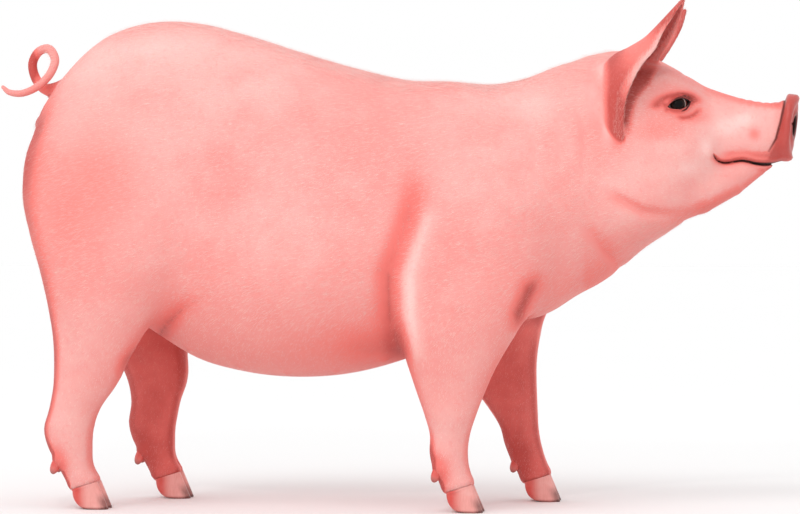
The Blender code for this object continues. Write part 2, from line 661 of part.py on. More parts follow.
def build():
    pieces = {}
    rear = thinned(
        lambda p: np.maximum(flesh(p), p[:, 0] - 0.50), (-0.78, -0.30, 0.0), (0.56, 0.30, 1.0), BODY_CELL, BODY_TRIANGLES
    )
    front = thinned(
        lambda p: np.maximum(flesh(p), 0.30 - p[:, 0]), (0.27, -0.24, 0.30), (0.80, 0.24, 1.0), HEAD_CELL, HEAD_TRIANGLES
    )
    rear = side_of(rear, HEAD_CUT, -1)
    neck, trunk = side_of(rear, NECK_CUT), side_of(rear, NECK_CUT, -1)
    hams, trunk = side_of(trunk, THIGH_CUT), side_of(trunk, THIGH_CUT, -1)
    arms, trunk = side_of(trunk, ARM_CUT), side_of(trunk, ARM_CUT, -1)
    hind = {side: islands(beyond(hams, Vector(), Vector((0, side, 0))))[0] for side in SIDES}
    fore = {(LEFT if middle_y(leg) > 0 else RIGHT): leg for leg in islands(arms)[:2]}
    build_legs(pieces, hind, "hind", HOCK_HEIGHT, TOE_HIND, HIND_STRIDE, DEWCLAW_HIND)
    build_legs(pieces, fore, "fore", CARPUS_HEIGHT, TOE_FORE, FORE_STRIDE, DEWCLAW_FORE)

    plate = thinned(disc, (0.68, -0.09, 0.63), (0.79, 0.09, 0.82), 0.0030, DISC_TRIANGLES)
    facing = Vector((math.cos(DISC_LEAN), 0, -math.sin(DISC_LEAN)))
    back = Vector(DISC_CENTRE) - facing * DISC_THICK * 0.75
    plate = islands(beyond(plate, back, facing))[0]
    head = islands(beyond(side_of(front, HEAD_CUT), back, -facing))[0]
    chin = combined(head, below_mouth(GAP), "INTERSECT")
    head = combined(head, below_mouth(0), "DIFFERENCE")
    for side, name in SIDES.items():
        eye = ball(Vector(EYE_CENTRE) * Vector((1, side, 1)), EYE_RADIUS)
        head = without(head, eye)
        pieces[f"eye_{name}"] = (eye, "eye_brown")
    for side, name in SIDES.items():
        pieces[f"ear_{name}"] = (without(without(ear(side), head), neck), "ear_pink")

    pieces["trunk"] = (trunk, "skin_pink")
    pieces["neck"] = (neck, "skin_pink")
    pieces["head"] = (head, "skin_pink")
    pieces["lower_jaw"] = (chin, "skin_pink")
    pieces["snout_disc"] = (plate, "snout_rose")

    table = through(TAIL)
    for name, start, end in zip(TAIL_LENGTHS, TAIL_JOINTS, TAIL_JOINTS[1:]):
        rings = round((end - start) * 27)
        length = tube(table, start, end - (0.0011 if end < 1 else 0), rings, 8)
        if start == 0:
            length = without(length, trunk)
        pieces[name] = (length, "skin_pink")
    return pieces


def main():
    for old in list(bpy.data.objects):
        bpy.data.objects.remove(old)
    for name, (solid, colour) in build().items():
        place(name, solid, colour)


main()
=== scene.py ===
"""The standing pig, dressed: one unbroken skin over the fixed solids, eyes, lashes, horn and bristles.

Metres, +Z up, the pig faces +X and its right side is -Y. The skin follows the same tables as the solids,
a little inside them, and adds lids, lips, folds and teats.
"""

import math

import bmesh
import bpy
import numpy as np
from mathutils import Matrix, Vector
from mathutils.bvhtree import BVHTree


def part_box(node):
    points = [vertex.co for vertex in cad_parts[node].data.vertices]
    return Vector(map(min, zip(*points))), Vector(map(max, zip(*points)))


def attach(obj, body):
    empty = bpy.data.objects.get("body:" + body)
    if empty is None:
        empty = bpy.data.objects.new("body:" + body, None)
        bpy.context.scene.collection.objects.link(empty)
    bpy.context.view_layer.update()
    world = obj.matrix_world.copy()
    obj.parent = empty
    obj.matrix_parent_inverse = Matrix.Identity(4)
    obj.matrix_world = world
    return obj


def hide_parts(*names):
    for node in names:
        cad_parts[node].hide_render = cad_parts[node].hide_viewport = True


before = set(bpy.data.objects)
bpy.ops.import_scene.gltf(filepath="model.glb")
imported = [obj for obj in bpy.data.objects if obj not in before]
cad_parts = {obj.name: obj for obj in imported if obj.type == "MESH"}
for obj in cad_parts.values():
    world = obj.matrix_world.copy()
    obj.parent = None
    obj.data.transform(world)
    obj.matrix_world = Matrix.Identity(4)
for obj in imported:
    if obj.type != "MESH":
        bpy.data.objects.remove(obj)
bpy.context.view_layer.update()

# ---------------------------------------------------------------- sizes of the animal
COAT_DEPTH = 0.0020         # how far the skin lies inside the solids
THIN_DEPTH = 0.0005         # the same on ears, tail and snout
BODY_CELL, HEAD_CELL = 0.0098, 0.0045    # size of the net's cells

RIGHT, LEFT = -1, 1
SIDES = {RIGHT: "right", LEFT: "left"}
STRIDE = {RIGHT: 0.0, LEFT: 1.0}
HIND_STRIDE, HIND_KNEE, HIND_HIP = 0.114, 0.15, 0.445
FORE_STRIDE, FORE_KNEE, FORE_HIP = 0.131, 0.05, 0.47

# Barrel and neck, by vertical sections: place along X, top, bottom, half width
BARREL = (
    (-0.716, 0.720, 0.640, 0.030),
    (-0.702, 0.760, 0.580, 0.072),
    (-0.674, 0.806, 0.520, 0.106),
    (-0.630, 0.860, 0.455, 0.134),
    (-0.580, 0.902, 0.405, 0.150),
    (-0.520, 0.928, 0.360, 0.164),
    (-0.455, 0.938, 0.318, 0.178),
    (-0.390, 0.934, 0.283, 0.190),
    (-0.300, 0.912, 0.262, 0.203),
    (-0.190, 0.877, 0.254, 0.214),
    (-0.090, 0.847, 0.260, 0.216),
    (0.010, 0.823, 0.282, 0.210),
    (0.100, 0.811, 0.314, 0.200),
    (0.180, 0.812, 0.340, 0.186),
    (0.240, 0.823, 0.366, 0.172),
    (0.310, 0.849, 0.396, 0.155),
    (0.380, 0.863, 0.424, 0.138),
    (0.450, 0.857, 0.477, 0.118),
    (0.500, 0.835, 0.528, 0.090),
    (0.545, 0.802, 0.575, 0.050),
)

# Skull and muzzle, by vertical sections: place along X, top, bottom, half width
SKULL = (
    (0.375, 0.846, 0.590, 0.080),
    (0.420, 0.863, 0.555, 0.108),
    (0.470, 0.859, 0.536, 0.119),
    (0.520, 0.838, 0.552, 0.112),
    (0.570, 0.813, 0.582, 0.091),
    (0.620, 0.794, 0.625, 0.0695),
    (0.670, 0.780, 0.656, 0.0575),
    (0.710, 0.775, 0.668, 0.0540),
    (0.740, 0.779, 0.668, 0.0555),
)

# Limbs, by level sections: height, place along X, half length, distance from the midline, half width
HIND_LIMB = (
    (0.018, -0.578, 0.036, 0.128, 0.034),
    (0.055, -0.595, 0.036, 0.128, 0.034),
    (0.085, -0.610, 0.037, 0.128, 0.034),
    (0.115, -0.619, 0.044, 0.128, 0.037),
    (0.150, -0.622, 0.0495, 0.129, 0.037),
    (0.190, -0.610, 0.0510, 0.131, 0.039),
    (0.230, -0.592, 0.061, 0.133, 0.046),
    (0.275, -0.577, 0.073, 0.136, 0.054),
    (0.320, -0.565, 0.086, 0.138, 0.064),
    (0.380, -0.551, 0.109, 0.137, 0.079),
    (0.450, -0.537, 0.140, 0.130, 0.093),
    (0.530, -0.532, 0.169, 0.120, 0.104),
    (0.620, -0.535, 0.179, 0.108, 0.106),
    (0.700, -0.535, 0.160, 0.094, 0.098),
    (0.760, -0.530, 0.112, 0.080, 0.070),
    (0.800, -0.525, 0.050, 0.070, 0.030),
)
FORE_LIMB = (
    (0.018, 0.137, 0.036, 0.128, 0.034),
    (0.055, 0.121, 0.036, 0.128, 0.034),
    (0.085, 0.110, 0.037, 0.128, 0.034),
    (0.110, 0.106, 0.038, 0.128, 0.034),
    (0.145, 0.108, 0.040, 0.128, 0.034),
    (0.180, 0.109, 0.050, 0.130, 0.040),
    (0.224, 0.110, 0.066, 0.132, 0.045),
    (0.270, 0.113, 0.084, 0.136, 0.052),
    (0.320, 0.119, 0.107, 0.138, 0.062),
    (0.380, 0.133, 0.133, 0.136, 0.073),
    (0.460, 0.148, 0.147, 0.128, 0.083),
    (0.540, 0.165, 0.140, 0.118, 0.088),
    (0.620, 0.185, 0.115, 0.106, 0.082),
    (0.680, 0.205, 0.080, 0.092, 0.062),
    (0.715, 0.215, 0.040, 0.086, 0.034),
)

# Muscles and fat, one oval each, for the left side: centre, half sizes, pitch in degrees, blend radius
BODY_OVALS = (
    ((-0.430, 0.105, 0.660), (0.150, 0.085, 0.190), 12, 0.060),   # haunch, ahead of the ham
    ((-0.190, 0.060, 0.444), (0.250, 0.150, 0.165), 0, 0.080),    # belly
    ((0.120, 0.085, 0.640), (0.120, 0.095, 0.160), 20, 0.070),    # shoulder blade
    ((0.250, 0.050, 0.448), (0.075, 0.080, 0.075), 30, 0.060),    # breast
    ((0.330, 0.060, 0.620), (0.120, 0.080, 0.150), -20, 0.070),   # side of the neck
)
HEAD_OVALS = (
    ((0.455, 0.076, 0.592), (0.088, 0.066, 0.075), 35, 0.045),    # jowl
    ((0.515, 0.070, 0.680), (0.078, 0.046, 0.062), -10, 0.040),   # cheek
    ((0.517, 0.062, 0.800), (0.055, 0.034, 0.027), -24, 0.030),   # brow
    ((0.655, 0.030, 0.690), (0.060, 0.027, 0.025), -3, 0.022),    # upper lip
)
JAW = (
    (0.500, 0.050, 0.598, 0.062),
    (0.570, 0.040, 0.606, 0.047),
    (0.630, 0.028, 0.629, 0.037),
    (0.680, 0.016, 0.656, 0.026),
    (0.712, 0.008, 0.671, 0.017),
)

# Ear, by its three edges: how far up the ear, then the inner rim, the outer rim and the back
EAR = (
    (0.00, 0.456, 0.032, 0.812, 0.424, 0.116, 0.672, 0.375, 0.070, 0.760),
    (0.16, 0.482, 0.050, 0.838, 0.431, 0.138, 0.714, 0.386, 0.088, 0.815),
    (0.32, 0.497, 0.061, 0.853, 0.438, 0.150, 0.776, 0.406, 0.092, 0.850),
    (0.50, 0.511, 0.080, 0.874, 0.466, 0.155, 0.836, 0.442, 0.096, 0.872),
    (0.66, 0.524, 0.097, 0.896, 0.492, 0.153, 0.868, 0.474, 0.108, 0.891),
    (0.80, 0.536, 0.112, 0.920, 0.507, 0.148, 0.900, 0.501, 0.119, 0.916),
    (0.92, 0.5435, 0.126, 0.943, 0.528, 0.143, 0.934, 0.526, 0.130, 0.942),
    (1.00, 0.5470, 0.135, 0.960, 0.544, 0.139, 0.958, 0.5425, 0.136, 0.960),
)
EAR_THICK = 0.0075
EAR_FAT = 0.0022        # how much thicker the first net is laid on the ear

# Tail, by balls along it: how far along, place, radius
TAIL = (
    (0.00, -0.636, 0.000, 0.808, 0.0200),
    (0.09, -0.668, 0.001, 0.806, 0.0150),
    (0.17, -0.696, 0.004, 0.806, 0.0115),
    (0.26, -0.717, 0.007, 0.829, 0.0098),
    (0.34, -0.722, 0.006, 0.858, 0.0093),
    (0.41, -0.708, 0.002, 0.880, 0.0092),
    (0.47, -0.688, -0.004, 0.884, 0.0092),
    (0.54, -0.674, -0.012, 0.864, 0.0090),
    (0.62, -0.681, -0.020, 0.836, 0.0085),
    (0.71, -0.704, -0.025, 0.811, 0.0080),
    (0.81, -0.735, -0.025, 0.797, 0.0073),
    (0.91, -0.762, -0.022, 0.799, 0.0062),
    (1.00, -0.775, -0.020, 0.809, 0.0042),
)
TAIL_CUT = 0.20         # how far along the tail its tube joins the stub on the rump
TAIL_SIDES, TAIL_RINGS = 20, 96

# Snout: half sizes of its disc, how round its edge is, how it leans, and where its nostrils are
DISC_HEIGHT, DISC_WIDTH, DISC_THICK, DISC_ROUND, DISC_FULLNESS = 0.0640, 0.0600, 0.0135, 0.0085, 2.3
DISC_CENTRE, DISC_LEAN = (0.7445, 0.0, 0.7265), math.radians(7)
NOSTRIL_OUT, NOSTRIL_UP, NOSTRIL_HALF = 0.0275, 0.003, (0.0098, 0.0180)
DISC_BOW = 0.0105       # how far the disc's face falls back at its sides

# Groove behind the disc: place, height, share of its depth
SNOUT_GROOVE = (
    (0.7395, 0.800, 1.0),
    (0.7350, 0.770, 1.0),
    (0.7275, 0.735, 1.0),
    (0.7190, 0.703, 1.0),
    (0.7060, 0.680, 0.5),
)

# Feet: the line between a foot's claws, tips of the right toes, claws, their upper edge, and dewclaws
FOOT_AXIS = 0.128
TOE_HIND, TOE_FORE = -0.5415, 0.173
CLAW_SPREAD, CLAW_HALF_WIDTH = 0.0178, 0.0160
CLAW_SOLE, CLAW_HEEL, CLAW_HEEL_HEIGHT, CLAW_TOP = 0.040, 0.030, 0.034, 0.075
CLAW_SLOPE = 0.42
CORONET = ((-0.020, 0.050), (-0.072, 0.034))
DEWCLAW_HIND, DEWCLAW_FORE = (-0.641, 0.088), (0.087, 0.078)
DEWCLAW_LENGTH, DEWCLAW_RADIUS, DEWCLAW_SPREAD = 0.032, 0.0100, 0.0215

# Each foot, by side and end: place of its toes' tips, and place and height of its dewclaws' roots
FEET = {
    (side, end): (toe + STRIDE[side] * reach, (root + STRIDE[side] * reach, height))
    for side in SIDES
    for end, toe, (root, height), reach in (
        ("hind", TOE_HIND, DEWCLAW_HIND, HIND_STRIDE),
        ("fore", TOE_FORE, DEWCLAW_FORE, FORE_STRIDE),
    )
}


# The left eyeball, as the solid has it
EYE_LOW, EYE_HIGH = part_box("eye_left")
EYE_CENTRE = np.array((EYE_LOW + EYE_HIGH) / 2)
EYE_RADIUS = float(EYE_HIGH.y - EYE_LOW.y) / 2


# ---------------------------------------------------------------- smooth forms, as signed distances
def through(stations, samples=400):
    """Closely spaced rows of a smooth curve through the rows of a table, whose first column rises."""
    rows = np.array(stations, float)
    place = rows[:, 0]
    slope = np.gradient(rows, place, axis=0)
    fine = np.linspace(place[0], place[-1], samples)
    i = np.clip(np.searchsorted(place, fine, "right") - 1, 0, len(place) - 2)
    step = (place[i + 1] - place[i])[:, None]
    t = (fine[:, None] - place[i][:, None]) / step
    return (
        (2 * t**3 - 3 * t**2 + 1) * rows[i]
        + (t**3 - 2 * t**2 + t) * step * slope[i]
        + (3 * t**2 - 2 * t**3) * rows[i + 1]
        + (t**3 - t**2) * step * slope[i + 1]
    )


def at_place(table, place):
    """What the rows of a table hold at a place between them."""
    return np.array([np.interp(place, table[:, 0], column) for column in table.T[1:]])


def round_share(u, v, half_u, half_v, fullness):
    """1 on a round outline, which is an ellipse at a fullness of 2 and squarer above it."""
    return (np.abs(u / half_u) ** fullness + np.abs(v / half_v) ** fullness) ** (1 / fullness)


def past_outline(u, v, share):
    reach = np.hypot(u, v)
    return reach - reach / np.maximum(share, 1e-6)


def section_distance(table, fullness, along, u, v):
    """Distance from the outline that a table gives at each place along it."""
    place = np.clip(along, table[0, 0], table[-1, 0])
    centre_u, half_u, centre_v, half_v = (np.interp(place, table[:, 0], table[:, n]) for n in (1, 2, 3, 4))
    u, v = u - centre_u, v - centre_v
    return past_outline(u, v, round_share(u, v, half_u, half_v, fullness))


def both_ways(beside, past):
    """Distance to a form from the distances beside it and past its ends."""
    return np.minimum(np.maximum(beside, past), 0) + np.hypot(np.maximum(beside, 0), np.maximum(past, 0))


def loft(table, fullness, along, u, v):
    """Distance to a loft through sections (place, centre u, half u, centre v, half v), with flat ends."""
    step = 0.004
    inside = section_distance(table, fullness, along, u, v)
    ahead = section_distance(table, fullness, along + step, u, v)
    behind = section_distance(table, fullness, along - step, u, v)
    inside = inside / np.hypot(1, (ahead - behind) / (2 * step))
    return both_ways(inside, np.maximum(table[0, 0] - along, along - table[-1, 0]))


def oval(p, centre, half, pitch=0):
    """About the distance to an ellipsoid, pitched nose up by some degrees."""
    c, s = math.cos(math.radians(pitch)), math.sin(math.radians(pitch))
    x, y, z = (p[:, n] - centre[n] for n in range(3))
    q = np.stack([c * x + s * z, y, c * z - s * x], axis=1)
    near = np.linalg.norm(q / half, axis=1)
    steep = np.linalg.norm(q / np.square(half), axis=1)
    return near * (near - 1) / np.maximum(steep, 1e-9)


def strung(p, balls):
    """Distance to a chain of balls (x, y, z, radius) with cones between them."""
    found = np.full(len(p), np.inf)
    for a, b in zip(balls, balls[1:]):
        start, run = np.array(a[:3]), np.subtract(b[:3], a[:3])
        t = np.clip((p - start) @ run / (run @ run), 0, 1)
        away = np.linalg.norm(p - start - t[:, None] * run, axis=1) - (a[3] + t * (b[3] - a[3]))
        found = np.minimum(found, away)
    return found


def join(a, b, blend):
    """Either form, with a fillet of about a blend's width between them."""
    h = np.clip(0.5 + 0.5 * (b - a) / blend, 0, 1)
    return b + (a - b) * h - blend * h * (1 - h)


def carve(a, b, blend):
    """The first form without the second."""
    return -join(-a, b, blend)


def ramp(value, low, high):
    """0 up to low, 1 from high on, and smooth between."""
    t = np.clip((value - low) / (high - low), 0, 1)
    return t * t * (3 - 2 * t)


def bell(value, width):
    """1 at nothing, falling off to both sides."""
    return np.exp(-np.square(value / width))


def unit(vectors):
    return vectors / np.linalg.norm(vectors, axis=-1, keepdims=True)


def folded(p):
    """Points with those of the right side moved over to the left."""
    return np.stack([p[:, 0], np.abs(p[:, 1]), p[:, 2]], axis=1)


def within(p, low, high, form, else_far=0.09):
    """A form's distance at the points inside a box, and a large one elsewhere."""
    found = np.full(len(p), else_far)
    near = ((p > low) & (p < high)).all(axis=1)
    if near.any():
        found[near] = form(p[near])
    return found


def traced(p, line):
    """Distance in the plane of X and Z from a line of points (x, z, strength), and the strength there."""
    return drawn(p[:, [0, 2]], line)


def drawn(q, line):
    """The same for points and lines on a plane."""
    best, strength = np.full(len(q), np.inf), np.zeros(len(q))
    for a, b in zip(line, line[1:]):
        start, run = np.array(a[:2]), np.subtract(b[:2], a[:2])
        t = np.clip((q - start) @ run / (run @ run), 0, 1)
        away = np.linalg.norm(q - start - t[:, None] * run, axis=1)
        closer = away < best
        best = np.where(closer, away, best)
        strength = np.where(closer, a[2] + t * (b[2] - a[2]), strength)
    return best, strength


# ---------------------------------------------------------------- the flesh, as in the solids
def upright(stations):
    """Table of vertical sections for loft."""
    rows = through(stations)
    centre, half = (rows[:, 1] + rows[:, 2]) / 2, (rows[:, 1] - rows[:, 2]) / 2
    return np.stack([rows[:, 0], 0 * centre, rows[:, 3], centre, half], axis=1)


def limb_table(stations, side, reach, knee, hip):
    """Table of level sections for loft, carried ahead below the hip by the leg's stride."""
    rows = through(stations)
    forward = rows[:, 1] + STRIDE[side] * reach * (1 - ramp(rows[:, 0], knee, hip))
    return np.stack([rows[:, 0], forward, rows[:, 2], rows[:, 3], rows[:, 4]], axis=1)


HEAD_BOX = (0.25, -0.3, 0.4), (0.95, 0.3, 1.1)
DISC_BOX = (0.66, -0.1, 0.6), (0.82, 0.1, 0.85)
BARREL_FULLNESS, SKULL_FULLNESS, LIMB_FULLNESS = 2.25, 2.3, 2.15
BARREL_TABLE, SKULL_TABLE, TAIL_TABLE = upright(BARREL), upright(SKULL), through(TAIL)
LIMBS = [
    (side, limb_table(stations, side, reach, knee, hip), blend)
    for side in SIDES
    for stations, reach, knee, hip, blend in (
        (HIND_LIMB, HIND_STRIDE, HIND_KNEE, HIND_HIP, 0.045),
        (FORE_LIMB, FORE_STRIDE, FORE_KNEE, FORE_HIP, 0.040),
    )
]


def limb(p, table, side):
    low = np.array((table[:, 1].min() - 0.26, -0.30, -0.10))
    high = np.array((table[:, 1].max() + 0.26, 0.30, table[-1, 0] + 0.09))
    return within(p, low, high, lambda q: loft(table, LIMB_FULLNESS, q[:, 2], q[:, 0], side * q[:, 1]), 0.20)


def with_ovals(form, q, ovals):
    for centre, half, pitch, blend in ovals:
        form = join(form, oval(q, centre, half, pitch), blend)
    return form


def head_flesh(p):
    q = folded(p)
    return with_ovals(join(loft(SKULL_TABLE, SKULL_FULLNESS, *p.T), strung(q, JAW), 0.022), q, HEAD_OVALS)


def flesh(p):
    body = with_ovals(loft(BARREL_TABLE, BARREL_FULLNESS, *p.T), folded(p), BODY_OVALS)
    body = join(body, within(p, *HEAD_BOX, head_flesh, 0.20), 0.050)
    for side, table, blend in LIMBS:
        body = join(body, limb(p, table, side), blend)
    return body


# ---------------------------------------------------------------- snout, ears, eyes, mouth and tail
def disc_place(p):
    """Points in the frame of the snout's disc: out of it, across, and up it."""
    c, s = math.cos(DISC_LEAN), math.sin(DISC_LEAN)
    x, z = p[:, 0] - DISC_CENTRE[0], p[:, 2] - DISC_CENTRE[2]
    return np.stack([c * x - s * z, p[:, 1], s * x + c * z], axis=1)


def nostril_reach(q):
    """1 at the edge of a nostril, in the disc's own place."""
    y = np.abs(q[:, 1]) - NOSTRIL_OUT
    return np.hypot(y / NOSTRIL_HALF[0], (q[:, 2] - NOSTRIL_UP) / NOSTRIL_HALF[1])


def disc_bow(y):
    return DISC_BOW * ramp(np.abs(y), 0.010, 0.058)


def disc(p):
    """Distance to the snout's disc: a round-edged plate with a raised rim, a bowed face and two nostrils."""
    q = disc_place(p)
    x, across, z = q.T
    y = np.abs(across)
    share = round_share(across, z, DISC_WIDTH, DISC_HEIGHT, DISC_FULLNESS)
    deep = np.abs(x) + disc_bow(y) * (x > 0) - DISC_THICK + DISC_ROUND
    plate = both_ways(past_outline(across, z, share) + DISC_ROUND, deep) - DISC_ROUND
    front = ramp(x, -0.004, 0.004)
    plate += front * (0.0016 * bell(share - 0.74, 0.10) + 0.0012 * bell(across, 0.004) * (z > -0.05))
    plate += 0.0022 * bell(z - 0.006, 0.0030) * ramp(y, NOSTRIL_OUT, 0.039) * ramp(x, -0.006, 0.000)
    hole = np.stack([x, y - 0.36 * (x - 0.006), z], axis=1)
    plate = carve(plate, oval(hole, (0.006, NOSTRIL_OUT, NOSTRIL_UP), (0.026, *NOSTRIL_HALF)), 0.0045)
    return plate - front * 0.0014 * bell(nostril_reach(q) - 1.45, 0.30)


class EarSheet:
    """Middle surface of one ear, which gives the distance to the ear's flesh."""

    ROWS, COLUMNS = 64, 40

    def __init__(self, side):
        table = through(EAR, self.ROWS)
        inner, outer, back = table[:, None, 1:4], table[:, None, 4:7], table[:, None, 7:10]
        turn = np.linspace(-math.pi / 2, math.pi / 2, self.COLUMNS)[None, :, None]
        centre = (inner + outer) / 2
        sheet = centre + (inner - outer) / 2 * np.sin(turn) + (back - centre) * np.cos(turn)
        sheet = sheet * (1, side, 1)
        self.inner, self.outer, self.back = (rim[:, 0] * (1, side, 1) for rim in (inner, outer, back))
        self.side = side
        grid = np.arange(self.ROWS * self.COLUMNS).reshape(self.ROWS, self.COLUMNS)
        quads = np.stack([grid[:-1, :-1], grid[:-1, 1:], grid[1:, 1:], grid[1:, :-1]], axis=-1).reshape(-1, 4)
        self.tree = BVHTree.FromPolygons(sheet.reshape(-1, 3).tolist(), quads.tolist())
        self.low, self.high = sheet.min((0, 1)) - 0.03, sheet.max((0, 1)) + 0.03

    def nearest(self, p):
        """Distance, how far up, how far across (-1 to 1, inner to outer rim) and how far on the open side."""
        found = [self.tree.find_nearest(tuple(point)) for point in p]
        index = np.array([f[2] for f in found])
        row, column = index // (self.COLUMNS - 1), index % (self.COLUMNS - 1)
        up = (row + 0.5) / (self.ROWS - 1)
        across = 1 - 2 * (column + 0.5) / (self.COLUMNS - 1)
        away = p - np.array([f[0] for f in found])
        normal = np.array([f[1] for f in found])
        opened = (away * normal).sum(1) * -self.side
        return np.array([f[3] for f in found]), up, across, opened

    def mouth(self, p, up):
        """1 where a point lies in the opening between the two rims, fading ahead of it."""
        row = np.clip(up * (self.ROWS - 1), 0, self.ROWS - 1).astype(int)
        inner, outer, back = self.inner[row], self.outer[row], self.back[row]
        chord = inner - outer
        share = ((p - outer) * chord).sum(1) / (chord**2).sum(1)
        forward = (inner + outer) / 2 - back
        forward -= chord * ((forward * chord).sum(1) / (chord**2).sum(1))[:, None]
        ahead = ((p - outer) * unit(forward)).sum(1)
        return ramp(share, -0.02, 0.10) * (1 - ramp(share, 0.75, 1.0)) * (1 - ramp(ahead, 0.004, 0.020))

    def distance(self, p, fat):
        away, up, across, opened = self.nearest(p)
        half = EAR_THICK / 2 * (1.05 - 0.45 * up) * (1 - 0.30 * np.abs(across) ** 3) - THIN_DEPTH
        ridges = 0.0011 * np.cos(across * 9.5) * ramp(up, 0.10, 0.35) * (1 - ramp(up, 0.70, 0.95))
        half = half + ridges * ramp(opened, 0.0, 0.002) * (1 - np.abs(across) ** 4)
        return away - np.maximum(half, 0.0017) - fat


EARS = {side: EarSheet(side) for side in SIDES}

# The eye's own frame, for the left eye: along the slit, up across it, and out of the head
SLIT_RISE = math.radians(9)
EYE_OUT = unit(np.array((0.26, 0.96, 0.06)))
EYE_ALONG = np.array((math.cos(SLIT_RISE), 0, math.sin(SLIT_RISE)))
EYE_ALONG = unit(EYE_ALONG - EYE_OUT * (EYE_ALONG @ EYE_OUT))
EYE_UP = np.cross(EYE_ALONG, EYE_OUT)
SLIT_HALF, SLIT_UPPER, SLIT_LOWER = 0.0220, 0.0100, 0.0080
LID_THICK = 0.0030
LID_LINE = (    # the deep line below the front of the eye
    (0.0225, 0.0020, 0.6),
    (0.0180, -0.0045, 1.0),
    (0.0105, -0.0110, 1.0),
    (-0.0020, -0.0145, 0.0),
)


def eye_place(p):
    """Points in the left eye's frame, whichever side they are on."""
    return (folded(p) - EYE_CENTRE) @ np.stack([EYE_ALONG, EYE_UP, EYE_OUT], axis=1)


def lid_edges(along):
    """Heights of the upper and the lower lid's edge along the slit."""
    t = np.clip(1 - np.square(along / SLIT_HALF), 0, 1)
    lean = 0.0016 * along / SLIT_HALF
    return SLIT_UPPER * t**0.85 + lean, -SLIT_LOWER * t**0.95 + lean


def lids(p, head):
    """The head with lids over the eyeball and an almond slit between them."""
    q = eye_place(p)
    u, v, out = q.T
    near = np.linalg.norm(q, axis=1)
    head = join(head, near - EYE_RADIUS - LID_THICK, 0.009)
    upper, lower = lid_edges(u)
    slit = np.maximum(np.maximum(v - upper, lower - v) * 0.9, np.abs(u) - SLIT_HALF)
    ring, fold = np.hypot(u / 1.55, v), np.hypot((u - 0.008) / 1.35, v)
    head += 0.0022 * bell(ring - 0.0195, 0.0024) * ramp(v, -0.004, 0.006) * (out > 0)
    head += 0.0016 * bell(ring - 0.0180, 0.0022) * ramp(-v, 0.002, 0.010) * (out > 0)
    head += 0.0014 * bell(fold - 0.0265, 0.0028) * ramp(-v, 0.008, 0.018) * (out > -0.01)
    head -= 0.0010 * bell(slit - 0.0020, 0.0016) * (out > 0.004)
    away, strength = drawn(q[:, :2], LID_LINE)
    head += 0.0012 * strength * bell(away, 0.0013) * (out > 0)
    return carve(head, np.maximum(slit, EYE_RADIUS - 0.0025 - near), 0.0014)


# Line of the mouth on the side of the face: place, height, depth of its slit
MOUTH_POINTS = (
    (0.6015, 0.6735, 0.3),
    (0.6045, 0.6675, 0.9),
    (0.6090, 0.6625, 1.0),
    (0.6160, 0.6590, 1.0),
    (0.6280, 0.6580, 1.0),
    (0.6420, 0.6605, 1.0),
    (0.6550, 0.6620, 1.0),
    (0.6680, 0.6600, 1.0),
    (0.6800, 0.6570, 1.0),
    (0.6950, 0.6555, 1.0),
    (0.7110, 0.6565, 1.0),
    (0.7300, 0.6600, 1.0),
)
MOUTH = tuple(map(tuple, through(MOUTH_POINTS, 40)))

# Creases of the hide, seen from the side: place, height, share of the depth
JOWL_CREASE = (
    (0.395, 0.615, 0.0), (0.425, 0.590, 1.0), (0.470, 0.566, 1.0), (0.520, 0.560, 0.6), (0.555, 0.572, 0.0),
)
THROAT_CREASE = ((0.345, 0.560, 0.0), (0.375, 0.520, 0.8), (0.400, 0.486, 1.0), (0.420, 0.462, 0.6))
SHOULDER_CREASE = (
    (0.075, 0.640, 0.0), (0.035, 0.550, 0.7), (0.000, 0.450, 1.0), (0.000, 0.370, 1.0), (0.012, 0.300, 0.7),
)
SHOULDER_SWELL = tuple((x + 0.034, z, share) for x, z, share in SHOULDER_CREASE)
ARM_CREASE = ((0.285, 0.455, 0.0), (0.262, 0.420, 1.0), (0.240, 0.375, 1.0), (0.232, 0.330, 0.0))
FLANK_CREASE = (
    (-0.33, 0.420, 0.0), (-0.40, 0.380, 0.7), (-0.455, 0.335, 1.0), (-0.50, 0.280, 0.8), (-0.52, 0.250, 0.0),
)
HAM_CREASE = ((-0.640, 0.420, 0.0), (-0.610, 0.330, 0.8), (-0.600, 0.270, 0.8), (-0.610, 0.225, 0.0))
NECK_FOLDS = (
    ((0.300, 0.800, 0.0), (0.318, 0.740, 1.0), (0.322, 0.680, 0.8), (0.315, 0.620, 0.0)),
    ((0.255, 0.770, 0.0), (0.272, 0.700, 1.0), (0.275, 0.640, 0.7), (0.268, 0.580, 0.0)),
    ((0.345, 0.780, 0.0), (0.362, 0.715, 1.0), (0.362, 0.650, 0.6), (0.352, 0.600, 0.0)),
)

# How each is pressed in: line, width, depth (it swells below 0), stride of its limb, whether also underneath
PRESSED = (
    (SHOULDER_CREASE, 0.017, 0.0060, FORE_STRIDE, False),
    (SHOULDER_SWELL, 0.020, -0.0040, FORE_STRIDE, False),
    (ARM_CREASE, 0.013, 0.0052, FORE_STRIDE, True),
    (FLANK_CREASE, 0.016, 0.0050, HIND_STRIDE, False),
    (HAM_CREASE, 0.014, 0.0035, HIND_STRIDE, False),
    (JOWL_CREASE, 0.010, 0.0045, 0, False),
    (THROAT_CREASE, 0.012, 0.0045, 0, True),
    *((fold, 0.011, 0.0032, 0, False) for fold in NECK_FOLDS),
)


